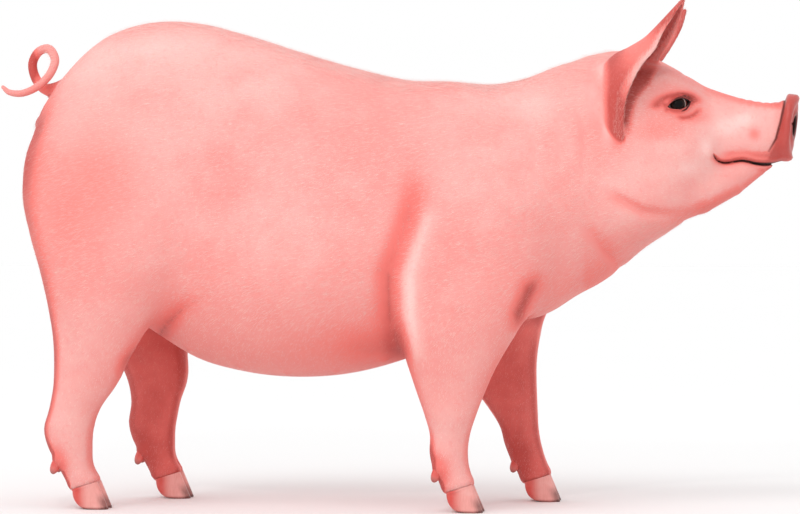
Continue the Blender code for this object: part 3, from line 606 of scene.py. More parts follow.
def crease(p, line, width, depth, reach=0.0):
    """How deep a line is pressed in, on both sides; the left limb's lines go ahead with its stride."""
    spare = 3 * width
    low, high = np.min(line, axis=0) - spare, np.max(line, axis=0) + spare
    near = (p[:, 0] > low[0]) & (p[:, 0] < high[0] + reach) & (p[:, 2] > low[1]) & (p[:, 2] < high[1])
    pressed = np.zeros(len(p))
    q = p[near]
    if reach:
        knee, hip = (HIND_KNEE, HIND_HIP) if line[0][0] < -0.2 else (FORE_KNEE, FORE_HIP)
        q[:, 0] -= (q[:, 1] > 0) * reach * (1 - ramp(q[:, 2], knee, hip))
    away, strength = traced(q, line)
    pressed[near] = depth * strength * bell(away, width)
    return pressed


def lips(p, head):
    """The head with its mouth slit, a rolled upper lip and the corner's pout."""
    away, strength = traced(p, MOUTH)
    above, face = mouth_height(p), ramp(p[:, 0], 0.600, 0.612)
    head = head - face * 0.0018 * bell(above - 0.0070, 0.0045)
    head -= face * 0.0010 * bell(above + 0.0065, 0.0040)
    head -= 0.0016 * bell(np.hypot(p[:, 0] - 0.594, p[:, 2] - 0.674) - 0.003, 0.006)
    return head + strength * (0.0050 * bell(away, 0.0012) + 0.0022 * bell(away, 0.0042))


TEAT_PLACES = [-0.395 + 0.094 * n for n in range(6)]
TEAT_ROW = 0.088
VENT_HEIGHT = 0.742
WRINKLE_SPACING = 0.0150


def teats(p, skin):
    """Two rows of small teats under the belly."""
    under = (p[:, 2] < 0.37) & (p[:, 0] > -0.46) & (p[:, 0] < 0.16)
    q = folded(p[under])
    raised = np.zeros(len(q))
    for x in TEAT_PLACES:
        away = np.hypot(q[:, 0] - x, q[:, 1] - TEAT_ROW)
        raised += 0.0062 * bell(away, 0.0055) + 0.0016 * bell(away, 0.015)
    skin[under] -= raised
    return skin


def tail_ball(place):
    """Centre and radius of the tail, a share of the way along it."""
    *centre, radius = at_place(TAIL_TABLE, place)
    return *centre, radius - THIN_DEPTH


TAIL_BOX = (-0.83, -0.08, 0.74), (-0.60, 0.07, 0.94)
STUB_BOX = (-0.80, -0.08, 0.74), (-0.58, 0.07, 0.88)
TAIL_BALLS = [tail_ball(place) for place in np.linspace(0, 1, 66)]
STUB_BALLS = [tail_ball(place) for place in np.linspace(0, TAIL_CUT + 0.05, 14)]


def tail_whole(p):
    return within(p, *TAIL_BOX, lambda q: strung(q, TAIL_BALLS))


def tail_stub(p):
    return within(p, *STUB_BOX, lambda q: strung(q, STUB_BALLS))


def foot_forms(whole, skin, side, toe, root):
    """A leg that ends at its claws: a swollen coronet, a cleft between the toes, and pads at the dewclaws."""
    point, up = coronet(toe)
    here = (np.abs(whole[:, 0] - toe + 0.06) < 0.14) & (side * whole[:, 1] > 0.03) & (whole[:, 2] < 0.17)
    if not here.any():
        return skin
    p, form = whole[here], skin[here]
    x, y, z = p.T
    above = (x - point.x) * up.x + (z - point.z) * up.z
    cleft = side * y - FOOT_AXIS
    form = form + 0.0014 * (1 - ramp(above, 0.000, 0.010)) - 0.0008 * bell(above - 0.012, 0.006)
    in_front, behind = ramp(x, toe - 0.075, toe - 0.045), ramp(-x, 0.06 - toe, 0.085 - toe)
    form += 0.0075 * bell(cleft, 0.0045) * (1 - ramp(above, 0.010, 0.055)) * in_front
    form += 0.0050 * bell(cleft, 0.0060) * (1 - ramp(above, 0.010, 0.050)) * behind
    for away in (-1, 1):
        beside = side * (FOOT_AXIS + away * DEWCLAW_SPREAD * 0.86)
        pad = np.linalg.norm(p - (root[0] + 0.004, beside, root[1] + 0.004), axis=1)
        form = join(form, pad - 0.0125, 0.012)
    skin[here] = carve(form, above + 0.0002, 0.003)
    return skin


def coronet(toe):
    """Plane of the claws' upper edge: a point and the way it faces, upward."""
    (x0, z0), (x1, z1) = CORONET
    return Vector((toe + x0, 0, z0)), Vector((z1 - z0, 0, x0 - x1)).normalized()


def muzzle_wrinkles(p):
    """How deep the wrinkles across the top of the muzzle are."""
    x, y, z = p.T
    wobble = x + 0.0030 * np.sin(y * 70) - 0.0012 * np.sin(z * 150)
    muzzle = ramp(x, 0.640, 0.665) * (1 - ramp(x, 0.722, 0.732))
    return 0.0007 * muzzle * ramp(z, 0.70, 0.76) * np.sin(wobble * 2 * math.pi / WRINKLE_SPACING)


def skin_form(p, plain=False):
    """Signed distance to the finished skin, or to one with fat ears and no teats to lay the first net on."""
    x, y, z = p.T
    skin = flesh(p) + COAT_DEPTH
    flare = 0.005 + 0.009 * ramp(z, 0.745, 0.780) + 0.006 * (1 - ramp(z, 0.690, 0.720))
    skin = join(skin, within(p, *DISC_BOX, disc) + THIN_DEPTH, flare)
    skin += crease(p, SNOUT_GROOVE, 0.0024, 0.0022)
    skin = join(skin, tail_stub(p) if plain else tail_whole(p), 0.016)

    # folds of the body
    out = ramp(np.abs(y), 0.03, 0.07)
    for line, width, depth, reach, underneath in PRESSED:
        skin += (1 if underneath else out) * crease(p, line, width, depth, reach)

    # spine, cleft between the hams, and the vent under the tail
    back = ramp(z, 0.78, 0.84) * (1 - ramp(x, 0.25, 0.36)) * ramp(x, -0.62, -0.55)
    skin += 0.0030 * back * bell(y, 0.016)
    behind = 1 - ramp(x, -0.68, -0.64)
    skin += 0.012 * behind * bell(y, 0.012) * ramp(z, 0.40, 0.50) * (1 - ramp(z, 0.745, 0.775))
    vent = np.hypot(y, z - VENT_HEIGHT)
    skin -= behind * (0.0090 * bell(vent - 0.012, 0.008) - 0.006 * bell(vent, 0.005))
    if not plain:
        skin = teats(p, skin)
    for (side, _), (toe, root) in FEET.items():
        skin = foot_forms(p, skin, side, toe, root)

    # the head
    head = x > 0.40
    if head.any():
        skin[head] = lids(p[head], lips(p[head], skin[head])) + muzzle_wrinkles(p[head])
    for sheet in EARS.values():
        ear = within(p, sheet.low, sheet.high, lambda q: sheet.distance(q, EAR_FAT if plain else 0.0))
        skin = join(skin, ear, 0.013)
    return skin


# ---------------------------------------------------------------- meshing
PROBE = 0.0004    # step at which a slope is taken


def net_over(field, low, high, cell):
    """Closed quad mesh over the zero level of a field: one point in each cell that the level crosses."""
    axes = [np.arange(a, b + cell, cell) for a, b in zip(low, high)]
    shape = tuple(len(a) for a in axes)
    coarse = [a[::4] for a in axes]
    grid = np.stack(np.meshgrid(*coarse, indexing="ij"), axis=-1).reshape(-1, 3)
    rough = field(grid).reshape([len(a) for a in coarse])
    values = rough.repeat(4, 0).repeat(4, 1).repeat(4, 2)[: shape[0], : shape[1], : shape[2]].copy()
    near = np.argwhere(np.abs(values) < 8 * cell)
    values[tuple(near.T)] = field(np.stack([axes[n][near[:, n]] for n in range(3)], axis=1))
    unpinch(values, cell)
    inside = values < 0
    corners = [(i, j, k) for i in (0, 1) for j in (0, 1) for k in (0, 1)]
    count = np.zeros([n - 1 for n in shape], np.int8)
    for corner in corners:
        count += inside[tuple(slice(o, o + n - 1) for o, n in zip(corner, shape))]
    cells = np.argwhere((count > 0) & (count < 8))
    index = np.full(count.shape, -1)
    index[tuple(cells.T)] = np.arange(len(cells))
    total, number = np.zeros((len(cells), 3)), np.zeros(len(cells))
    for a in corners:
        for b in corners:
            if sum(b) - sum(a) != 1 or min(np.subtract(b, a)) < 0:
                continue
            start, end = values[tuple((cells + a).T)], values[tuple((cells + b).T)]
            crosses = (start < 0) != (end < 0)
            t = np.where(crosses, start / np.where(crosses, start - end, 1), 0)
            total += crosses[:, None] * (np.array(a) + t[:, None] * np.subtract(b, a))
            number += crosses
    points = np.stack([axes[n][cells[:, n]] for n in range(3)], axis=1) + cell * total / number[:, None]
    faces = []
    for axis in range(3):
        u, v = (axis + 1) % 3, (axis + 2) % 3
        first = inside[tuple(slice(0, -1) if n == axis else slice(None) for n in range(3))]
        second = inside[tuple(slice(1, None) if n == axis else slice(None) for n in range(3))]
        edge = np.argwhere(first != second)
        ring = []
        for du, dv in ((1, 1), (0, 1), (0, 0), (1, 0)):
            beside = edge.copy()
            beside[:, u] -= du
            beside[:, v] -= dv
            ring.append(index[tuple(beside.T)])
        quad = np.stack(ring, axis=1)
        faces.append(np.where(first[tuple(edge.T)][:, None], quad, quad[:, ::-1]))
    return points, np.concatenate(faces)


def unpinch(values, cell):
    """Fills the nearest of the outer nodes where the level would touch itself along an edge of the net."""
    for _ in range(12):
        inside, filled = values < 0, []
        for u, v in ((0, 1), (1, 2), (0, 2)):
            corners = []
            for du, dv in ((0, 0), (1, 1), (1, 0), (0, 1)):
                cut = [slice(None)] * 3
                cut[u] = slice(du, values.shape[u] - 1 + du)
                cut[v] = slice(dv, values.shape[v] - 1 + dv)
                corners.append(inside[tuple(cut)])
            a, b, c, d = corners
            for place in np.argwhere((a == b) & (c == d) & (a != c)):
                square = []
                for du, dv in ((0, 0), (1, 1), (1, 0), (0, 1)):
                    node = place.copy()
                    node[u] += du
                    node[v] += dv
                    if not inside[tuple(node)]:
                        square.append(tuple(node))
                filled.append(min(square, key=lambda node: values[node]))
        if not filled:
            return
        for node in set(filled):
            values[node] = -0.05 * cell


def slope_of(field, points):
    """How a field rises along each axis."""
    steps = PROBE * np.eye(3)
    return np.stack([(field(points + step) - field(points - step)) / (2 * PROBE) for step in steps], axis=1)


def settle(points, field, rounds, most=0.004):
    """Points moved along the field's slope until they lie on its zero level."""
    for _ in range(rounds):
        slope = slope_of(field, points)
        move = (field(points) / np.maximum((slope**2).sum(1), 0.3))[:, None] * slope
        size = np.linalg.norm(move, axis=1)[:, None]
        points = points - move * np.minimum(1, most / np.maximum(size, 1e-9))
    return points


def mesh_from(points, faces, name):
    """Smooth mesh of triangles or of quads."""
    mesh = bpy.data.meshes.new(name)
    faces = np.asarray(faces, np.int32)
    mesh.vertices.add(len(points))
    mesh.vertices.foreach_set("co", np.asarray(points, np.float32).ravel())
    mesh.loops.add(faces.size)
    mesh.loops.foreach_set("vertex_index", faces.ravel())
    mesh.polygons.add(len(faces))
    mesh.polygons.foreach_set("loop_start", np.arange(0, faces.size, faces.shape[1], dtype=np.int32))
    mesh.polygons.foreach_set("use_smooth", np.ones(len(faces), bool))
    mesh.update(calc_edges=True)
    mesh.validate()
    return mesh


def as_bmesh(points, faces):
    solid = bmesh.new()
    mesh = mesh_from(points, faces, "work")
    solid.from_mesh(mesh)
    bpy.data.meshes.remove(mesh)
    return solid


def places_of(solid):
    return np.array([v.co[:] for v in solid.verts])


def places_and_edges(solid):
    solid.verts.index_update()
    return places_of(solid), np.array([(e.verts[0].index, e.verts[1].index) for e in solid.edges])


def smooth_mesh(solid, name):
    """A plain mesh of what was worked on, with smooth faces."""
    for face in solid.faces:
        face.smooth = True
    mesh = bpy.data.meshes.new(name)
    solid.to_mesh(mesh)
    return mesh


def put_places(solid, points):
    for vert, point in zip(solid.verts, points):
        vert.co = point


def once(items):
    """Each item one time, in the order in which they come, so that every run makes the same mesh."""
    return list(dict.fromkeys(items))


def cut_away(solid, point, facing, near=None):
    """Removes what lies on the side that a plane faces, leaving an open rim."""
    faces = [f for f in solid.faces if near is None or near(f.calc_center_median())]
    geometry = once(v for f in faces for v in f.verts) + once(e for f in faces for e in f.edges) + faces
    bmesh.ops.bisect_plane(
        solid, geom=geometry, dist=1e-4, plane_co=point, plane_no=facing.normalized(), clear_outer=True
    )


def merge(solid, other):
    """Adds the second mesh to the first."""
    work = bpy.data.meshes.new("work")
    other.to_mesh(work)
    solid.from_mesh(work)
    bpy.data.meshes.remove(work)


def close_gap(solid, near):
    """Joins the two open rims in a region with a band of faces."""
    def open_edges():
        return [e for e in solid.edges if e.is_boundary and near((e.verts[0].co + e.verts[1].co) / 2)]

    bmesh.ops.remove_doubles(solid, verts=once(v for e in open_edges() for v in e.verts), dist=0.0012)
    bmesh.ops.bridge_loops(solid, edges=open_edges())


def relaxed(points, edges, strength, rounds, where):
    """Points drawn towards the middle of their neighbours, where a mask says so."""
    number = np.bincount(edges.ravel(), minlength=len(points))[:, None]
    for _ in range(rounds):
        total = np.zeros_like(points)
        for n in range(3):
            total[:, n] = np.bincount(edges[:, 0], points[edges[:, 1], n], len(points))
            total[:, n] += np.bincount(edges[:, 1], points[edges[:, 0], n], len(points))
        points = points + (strength * where)[:, None] * (total / number - points)
    return points


def on_line(points, edges, height, near):
    """Points drawn onto the line where a height is nothing, so that edges of the mesh run along it."""
    chosen = np.flatnonzero(near(points))
    rise = np.full(len(points), np.inf)
    rise[chosen] = height(points[chosen])
    a, b = edges.T
    both = np.isfinite(rise[a]) & np.isfinite(rise[b])
    crossing = both & (np.sign(rise[a]) != np.sign(rise[b]))
    closer = np.unique(np.where(np.abs(rise[a]) < np.abs(rise[b]), a, b)[crossing])
    slope = np.stack([(height(points[closer] + PROBE * e) - rise[closer]) / PROBE for e in np.eye(3)], axis=1)
    moved = points.copy()
    moved[closer] -= slope * (rise[closer] / (slope**2).sum(1))[:, None]
    return moved, closer


def split_faces(solid, near):
    """Splits in four the faces whose centres a test picks, given as an array of points."""
    solid.faces.ensure_lookup_table()
    centres = np.array([f.calc_center_median()[:] for f in solid.faces])
    picked = np.flatnonzero(near(centres))
    edges = once(e for n in picked for e in solid.faces[n].edges)
    bmesh.ops.subdivide_edges(solid, edges=edges, cuts=1, use_grid_fill=True, use_single_edge=True)


def near_eye(p, along, up):
    q = eye_place(p)
    return (np.abs(q[:, 0]) < along) & (np.abs(q[:, 1]) < up) & (q[:, 2] > -0.004)


def near_mouth(p, size):
    return (traced(p, MOUTH)[0] < size) & (p[:, 0] > 0.595) & (p[:, 0] < 0.745)


def mouth_height(p):
    return p[:, 2] - np.interp(p[:, 0], *np.array(MOUTH)[:, :2].T)


def near_nostril(p, size):
    q = disc_place(p)
    return (nostril_reach(q) < size) & (q[:, 0] > -0.02)


def near_groove(p, size):
    return (traced(p, SNOUT_GROOVE)[0] < size) & (p[:, 2] > 0.665)


def near_tail(p):
    return tail_whole(p) < 0.006


def near_teats(p):
    away = np.min([np.hypot(p[:, 0] - x, np.abs(p[:, 1]) - TEAT_ROW) for x in TEAT_PLACES], axis=0)
    return (away < 0.016) & (p[:, 2] < 0.37)


def near_vent(p):
    return (np.hypot(p[:, 1], p[:, 2] - VENT_HEIGHT) < 0.034) & (p[:, 0] < -0.66)


def tail_tube():
    """The free tail as a closed-ended tube, from where it is joined to the stub."""
    turns = np.arange(TAIL_SIDES) * 2 * math.pi / TAIL_SIDES
    loops = []
    for place in np.linspace(TAIL_CUT + 0.012, 1.0, TAIL_RINGS):
        *centre, radius = tail_ball(place)
        later, before = at_place(TAIL_TABLE, min(place + 0.004, 1)), at_place(TAIL_TABLE, place - 0.004)
        tangent = unit(later[:3] - before[:3])
        first = unit(np.cross((0, 1, 0), tangent))
        second = np.cross(tangent, first)
        loops.append([centre + radius * (math.cos(a) * first + math.sin(a) * second) for a in turns])
    last = loops[-1]
    centre = np.mean(last, axis=0)
    for lift in (0.45, 0.8, 0.97):
        shrink = math.sqrt(1 - lift * lift)
        loops.append([centre + tangent * radius * lift + (p - centre) * shrink for p in last])
    grid = np.arange(len(loops) * TAIL_SIDES).reshape(-1, TAIL_SIDES)
    low, high = grid[:-1], grid[1:]
    faces = np.stack([low, np.roll(low, -1, axis=1), np.roll(high, -1, axis=1), high], axis=-1).reshape(-1, 4)
    tube = as_bmesh(np.array(loops).reshape(-1, 3), faces)
    tube.verts.ensure_lookup_table()
    tube.faces.new([tube.verts[n] for n in grid[-1]])
    bmesh.ops.recalc_face_normals(tube, faces=tube.faces)
    return tube


# Boxes that the two nets are laid in, and where along X each ends, a little past the seam
BODY_NET = (-0.80, -0.27, -0.01), (0.46, 0.27, 1.0)
HEAD_NET = (0.27, -0.20, 0.36), (0.79, 0.20, 1.0)
BODY_TO, HEAD_FROM = 0.42, 0.29

# Where the head's fine mesh takes over: place and height of the seam, the way it faces, and the gap to bridge
NECK_SEAM = ((0.352, 0.670), (0.985, 0.174))
SEAM_GAP = 0.0045
FINE_FOOT = 0.118    # height below which the feet have finer faces


def fine_net(low, high, cell, beyond):
    """Net over the plain skin inside a box, ended where a second form says, and settled on the skin."""
    def plain_skin(p):
        return skin_form(p, plain=True)

    points, faces = net_over(lambda p: np.maximum(plain_skin(p), beyond(p)), low, high, cell)
    return as_bmesh(settle(points, plain_skin, 1), faces)


def add_head(body):
    """Cuts body and head where the neck is even, and joins them."""
    (x, z), (nx, nz) = NECK_SEAM
    seam, facing = Vector((x, 0, z)), Vector((nx, 0, nz))
    cut_away(body, seam, facing)
    head = fine_net(*HEAD_NET, HEAD_CELL, lambda p: HEAD_FROM - p[:, 0])
    cut_away(head, seam + facing * SEAM_GAP, -facing)
    merge(body, head)
    close_gap(body, lambda c: abs((c - seam).dot(facing)) < 0.02)


def add_tail(body):
    """Cuts the tail's stub on the rump and joins the free tail to it."""
    split_faces(body, near_tail)
    start, later = at_place(TAIL_TABLE, TAIL_CUT)[:3], at_place(TAIL_TABLE, TAIL_CUT + 0.01)[:3]
    start, run = Vector(start), Vector(later - start)
    cut_away(body, start, run, lambda c: (c - start).length < 0.030 and c.z > 0.788)

    def loose(c):
        return (c - start).length < 0.05 and (c - start).dot(run) > 0.0004 and c.z > 0.79

    bmesh.ops.delete(body, geom=[v for v in body.verts if loose(v.co)], context="VERTS")
    merge(body, tail_tube())
    close_gap(body, lambda c: (c - start).length < 0.03)


def build_skin():
    """The whole hide as one closed mesh, finer at the head, feet and tail."""
    body = fine_net(*BODY_NET, BODY_CELL, lambda p: p[:, 0] - BODY_TO)
    add_head(body)
    add_tail(body)

    # finer faces where small forms need them
    def small_forms(eye, mouth, nostril, groove):
        def near(p):
            return near_eye(p, *eye) | near_mouth(p, mouth) | near_nostril(p, nostril) | near_groove(p, groove)

        return near

    split_faces(body, lambda p: (p[:, 2] < FINE_FOOT) | near_teats(p) | near_vent(p))
    split_faces(body, small_forms((0.034, 0.027), 0.010, 2.1, 0.008))
    points, edges = places_and_edges(body)
    for _ in range(2):
        points = relaxed(points, edges, 0.4, 2, np.ones(len(points)))
        points = settle(points, skin_form, 2)
    put_places(body, points)
    split_faces(body, small_forms((0.0245, 0.0150), 0.0042, 1.4, 0.0040))
    points, edges = places_and_edges(body)
    fine = near_eye(points, 0.030, 0.022) | near_mouth(points, 0.009) | near_nostril(points, 1.9)

    def beside_mouth(p):
        return near_mouth(p, 0.006) & (np.abs(p[:, 1]) > 0.012)

    mask = fine.astype(float)
    for _ in range(3):
        points = relaxed(points, edges, 0.35, 2, mask)
        points, held = on_line(points, edges, mouth_height, beside_mouth)
        points[fine] = settle(points[fine], skin_form, 2, 0.0015)
        mask[held] = 0
    put_places(body, points)
    bmesh.ops.recalc_face_normals(body, faces=body.faces)
    return smooth_mesh(body, "skin")


# ---------------------------------------------------------------- materials
class Value:
    """A number that varies over a surface, so that sums and products of it add their own nodes."""

    def __init__(self, finish, socket):
        self.finish, self.socket = finish, socket

    def __add__(self, other):
        return self.finish.maths("ADD", self, other)

    def __sub__(self, other):
        return self.finish.maths("SUBTRACT", self, other)

    def __rsub__(self, other):
        return self.finish.maths("SUBTRACT", other, self)

    def __mul__(self, other):
        return self.finish.maths("MULTIPLY", self, other)

    __radd__, __rmul__ = __add__, __mul__

    def clipped(self):
        return self.finish.maths("ADD", self, 0.0, clamp=True)


class Finish:
    """A material, built node by node around its shader."""

    def __init__(self, name, roughness, **sockets):
        self.material = bpy.data.materials.new(name)
        self.material.use_nodes = True
        self.nodes, self.links = self.material.node_tree.nodes, self.material.node_tree.links
        self.shader = self.nodes["Principled BSDF"]
        for socket, value in {"Roughness": roughness, **sockets}.items():
            self.shader.inputs[socket.replace("_", " ")].default_value = value

    def node(self, kind, inputs=None, **settings):
        """Any node: its settings first, then the values or links of its sockets, by name or number."""
        made = self.nodes.new("ShaderNode" + kind)
        for name, value in settings.items():
            setattr(made, name, value)
        for name, value in (inputs or {}).items():
            value = getattr(value, "socket", value)
            if isinstance(value, bpy.types.NodeSocket):
                self.links.new(value, made.inputs[name])
            else:
                made.inputs[name].default_value = value
        return made

    def lead(self, value, socket):
        """Feeds a value or a colour to a socket of the shader."""
        self.links.new(getattr(value, "socket", value), self.shader.inputs[socket])

    def maths(self, operation, *values, clamp=False):
        made = self.node("Math", dict(enumerate(values)), operation=operation, use_clamp=clamp)
        return Value(self, made.outputs[0])

    def place(self):
        return self.node("TexCoord").outputs["Object"]

    def height(self):
        return Value(self, self.node("SeparateXYZ", {0: self.place()}).outputs["Z"])

    def mapped(self, place, scale, turn=(0, 0, 0)):
        """A place, turned and scaled unevenly."""
        return self.node("Mapping", {"Vector": place, "Rotation": turn, "Scale": scale}).outputs[0]

    def vectors(self, operation, inputs):
        return self.node("VectorMath", inputs, operation=operation).outputs[0]

    def warped(self, place, amount, scale):
        """A place shifted this way and that by noise."""
        shift = self.node("TexNoise", {"Vector": place, "Scale": scale, "Detail": 2}).outputs["Color"]
        centred = self.vectors("SUBTRACT", {0: shift, 1: (0.5, 0.5, 0.5)})
        return self.vectors("ADD", {0: place, 1: self.vectors("SCALE", {0: centred, "Scale": amount})})

    def noise(self, scale, detail, roughness=0.55, place=None):
        inputs = {"Vector": place or self.place(), "Scale": scale, "Detail": detail, "Roughness": roughness}
        return Value(self, self.node("TexNoise", inputs).outputs["Fac"])

    def cells(self, scale, place):
        """How far it is to the edge of a cell."""
        made = self.node("TexVoronoi", {"Vector": place, "Scale": scale}, feature="DISTANCE_TO_EDGE")
        return Value(self, made.outputs["Distance"])

    def painted(self, name):
        """A number stored on the mesh."""
        return Value(self, self.node("Attribute", attribute_name=name).outputs["Fac"])

    def between(self, value, low, high):
        """0 at low and 1 at high, clipped."""
        inputs = {"Value": value, "From Min": low, "From Max": high}
        made = self.node("MapRange", inputs, clamp=True, interpolation_type="SMOOTHSTEP")
        return Value(self, made.outputs["Result"])

    def layered(self, tone, *layers):
        """A colour with other colours laid over it, each by its own amount."""
        for amount, colour in layers:
            first, second = ((*c, 1) if isinstance(c, tuple) else c for c in (tone, colour))
            inputs = {0: amount, 6: first, 7: second}
            tone = self.node("Mix", inputs, data_type="RGBA", clamp_factor=True).outputs[2]
        return tone

    def bump(self, height, distance, strength):
        made = self.node("Bump", {"Height": height, "Distance": distance, "Strength": strength})
        self.lead(made.outputs["Normal"], "Normal")


PINK, LIGHT_PINK, DEEP_PINK = (0.80, 0.288, 0.264), (0.85, 0.475, 0.440), (0.82, 0.182, 0.157)
HIGHLIGHT_TONE = (0.93, 0.66, 0.62)
RED, DARK_RED, NEARLY_BLACK = (0.52, 0.072, 0.060), (0.16, 0.022, 0.018), (0.014, 0.006, 0.005)


def skin_finish():
    f = Finish(
        "pig_skin", 0.5, Specular_IOR_Level=0.30, Sheen_Weight=0.05, Sheen_Roughness=0.5,
        Subsurface_Weight=0.10, Subsurface_Scale=0.005, Subsurface_Radius=(1.0, 0.30, 0.18),
    )
    broad, patch, speckle = f.noise(3.6, 2), f.noise(16, 4, 0.6), f.noise(130, 3, 0.7)
    blush_and_shade, dark, painted_highlight, wet = (f.painted(word) for word in ("blush_and_shade", "dark", "painted_highlight", "wet"))
    redness_and_shade = (blush_and_shade * (0.75 + patch * 0.50)).clipped()
    tone = f.layered(
        PINK,
        (f.between(broad + patch * 0.6, 0.62, 1.10) * 0.60, LIGHT_PINK),
        ((painted_highlight * (0.50 + patch * 0.9)).clipped(), LIGHT_PINK),
        # painted highlights, in lighter and paler pink
        (f.between(painted_highlight, 0.60, 1.5) * 0.65, HIGHLIGHT_TONE),
        (f.between(speckle, 0.50, 0.72) * 0.22, DEEP_PINK),
        # redder skin, partly painted shade under the belly, on the inner legs and in creases
        (f.between(redness_and_shade, 0.0, 0.55), DEEP_PINK),
        (f.between(redness_and_shade, 0.45, 1.05), RED),
        # painted shade in creases, slits, nostrils and hollows, and the disc's own darker tone
        (f.between(dark, 0.0, 0.5), DARK_RED),
        (f.between(dark, 0.45, 1.0), NEARLY_BLACK),
    )
    f.lead(tone, "Base Color")
    f.lead((0.58 - wet * 0.30 + (patch - 0.5) * 0.12).clipped(), "Roughness")
    place = f.warped(f.place(), 0.010, 60)
    network = f.between(f.cells(330, place), 0.0, 0.16)
    wrinkles = f.between(f.cells(190, f.mapped(place, (1, 1, 2.3))), 0.0, 0.22)
    feet = f.between(f.height(), 0.24, 0.12)
    lie = f.noise(1.0, 2, 0.6, f.mapped(f.place(), (90, 620, 620), (0, math.radians(-22), 0)))
    f.bump(network * 0.16 + lie * 0.40 + f.noise(48, 4) * 0.75 + wrinkles * (feet * 0.45), 0.0011, 0.6)
    return f.material


def eye_finish():
    f = Finish("eye_glass", 0.04, Specular_IOR_Level=0.09)
    out, front, veins = f.painted("from_pupil"), f.painted("front_corner"), f.noise(260, 4, 0.7)
    white = f.layered(
        (0.66, 0.50, 0.46),
        (f.between(veins, 0.52, 0.70), (0.42, 0.10, 0.08)),
        (front, (0.105, 0.018, 0.014)),
    )
    tone = f.layered(
        (0.006, 0.004, 0.004),
        (f.between(out + (f.noise(900, 2) - 0.5) * 0.10, 0.50, 0.62), (0.030, 0.011, 0.008)),
        (f.between(out, 0.72, 0.98) * 0.8, (0.008, 0.005, 0.004)),
        (f.between(out, 1.0, 1.10), white),
    )
    f.lead(tone, "Base Color")
    f.bump(veins, 0.0001, 0.2)
    return f.material


def horn_finish():
    f = Finish("claw_horn", 0.42, Coat_Weight=0.12, Coat_Roughness=0.3)
    streaks = f.noise(1.0, 4, 0.65, f.mapped(f.place(), (420, 420, 38)))
    bands = f.noise(1.0, 2, 0.5, f.mapped(f.place(), (14, 14, 230)))
    patch = f.noise(45, 3)
    tone = f.layered(
        (0.78, 0.335, 0.300),
        (f.between(streaks, 0.35, 0.75) * 0.35, (0.62, 0.205, 0.175)),
        (f.between(patch, 0.50, 0.75) * 0.5, (0.80, 0.42, 0.38)),
        ((f.painted("reddened") * (0.6 + patch * 0.8)).clipped(), (0.62, 0.070, 0.055)),
        ((f.painted("worn") * (0.55 + streaks * 0.8)).clipped(), (0.105, 0.026, 0.021)),
    )
    f.lead(tone, "Base Color")
    f.lead((0.40 + (patch - 0.5) * 0.3).clipped(), "Roughness")
    f.bump(streaks * 0.25 + bands * 0.35 + patch * 0.5, 0.0006, 0.40)
    return f.material


def bristle_finish():
    f = Finish("bristle", 0.45, Sheen_Weight=0.1)
    tone = f.layered(
        (0.86, 0.50, 0.46),
        (f.between(f.painted("along"), 0.0, 1.0), (0.93, 0.74, 0.68)),
        # the skin's redness and painted shade at the bristle's root
        (f.between(f.painted("blush_and_shade"), 0.05, 0.75) * 0.85, (0.70, 0.22, 0.19)),
        (f.between(f.noise(40, 2), 0.45, 0.7) * 0.35, (0.80, 0.42, 0.38)),
    )
    f.lead(tone, "Base Color")
    return f.material


def lash_finish():
    f = Finish("lash", 0.4)
    f.lead(f.layered((0.010, 0.006, 0.005), (f.noise(500, 2), (0.05, 0.022, 0.016))), "Base Color")
    return f.material


# ---------------------------------------------------------------- painting and placing
def store(mesh, name, values):
    """Keeps a number for each point of a mesh, for its finish to read."""
    attribute = mesh.attributes.new(name, "FLOAT", "POINT")
    attribute.data.foreach_set("value", np.asarray(values, np.float32))


def read(rows, attribute, width, kind=np.float32):
    """Table of what each vertex, loop or triangle holds."""
    values = np.empty(len(rows) * width, kind)
    rows.foreach_get(attribute, values)
    return values.reshape(-1, width)


def points_of(mesh):
    return read(mesh.vertices, "co", 3).astype(float)


def normals_of(mesh):
    return read(mesh.vertex_normals, "vector", 3).astype(float)


def spot(p, centre, size):
    """1 at a place, falling off over a size in each direction."""
    return np.exp(-np.square((p - centre) / size).sum(1))


def at_least(values, least):
    """Raises values to others, in place."""
    np.maximum(values, least, out=values)


# Broad painted highlights, and redder places that are partly painted shade, for the left side: centre, size,
# amount
HIGHLIGHT_SPOTS = (
    ((-0.58, 0.10, 0.83), (0.08, 0.2, 0.05), 0.7),
    ((-0.44, 0.15, 0.88), (0.14, 0.2, 0.035), 0.8),
    ((-0.22, 0.15, 0.80), (0.12, 0.2, 0.03), 0.25),
    ((0.26, 0.15, 0.77), (0.09, 0.2, 0.04), 0.7),
    ((0.14, 0.15, 0.66), (0.07, 0.2, 0.06), 0.3),
    ((0.625, 0.06, 0.724), (0.044, 0.1, 0.030), 1.05),
    ((0.665, 0.06, 0.742), (0.028, 0.1, 0.018), 0.8),
    ((0.588, 0.06, 0.684), (0.017, 0.1, 0.024), 1.0),
    ((0.47, 0.10, 0.640), (0.060, 0.1, 0.032), 0.6),
    ((0.56, 0.10, 0.645), (0.040, 0.1, 0.020), 0.8),
    ((0.413, 0.12, 0.616), (0.028, 0.1, 0.018), 0.6),
    ((0.525, 0.10, 0.688), (0.035, 0.1, 0.016), 0.6),
    ((0.43, 0.10, 0.565), (0.030, 0.1, 0.030), 0.5),
    ((0.52, 0.06, 0.815), (0.035, 0.1, 0.012), 0.4),
    ((0.404, 0.12, 0.740), (0.008, 0.1, 0.032), 1.3),
    ((0.392, 0.12, 0.830), (0.010, 0.1, 0.022), 0.9),
    ((-0.62, 0.16, 0.200), (0.045, 0.1, 0.090), 0.5),
    ((0.095, 0.16, 0.170), (0.035, 0.1, 0.080), 0.4),
)
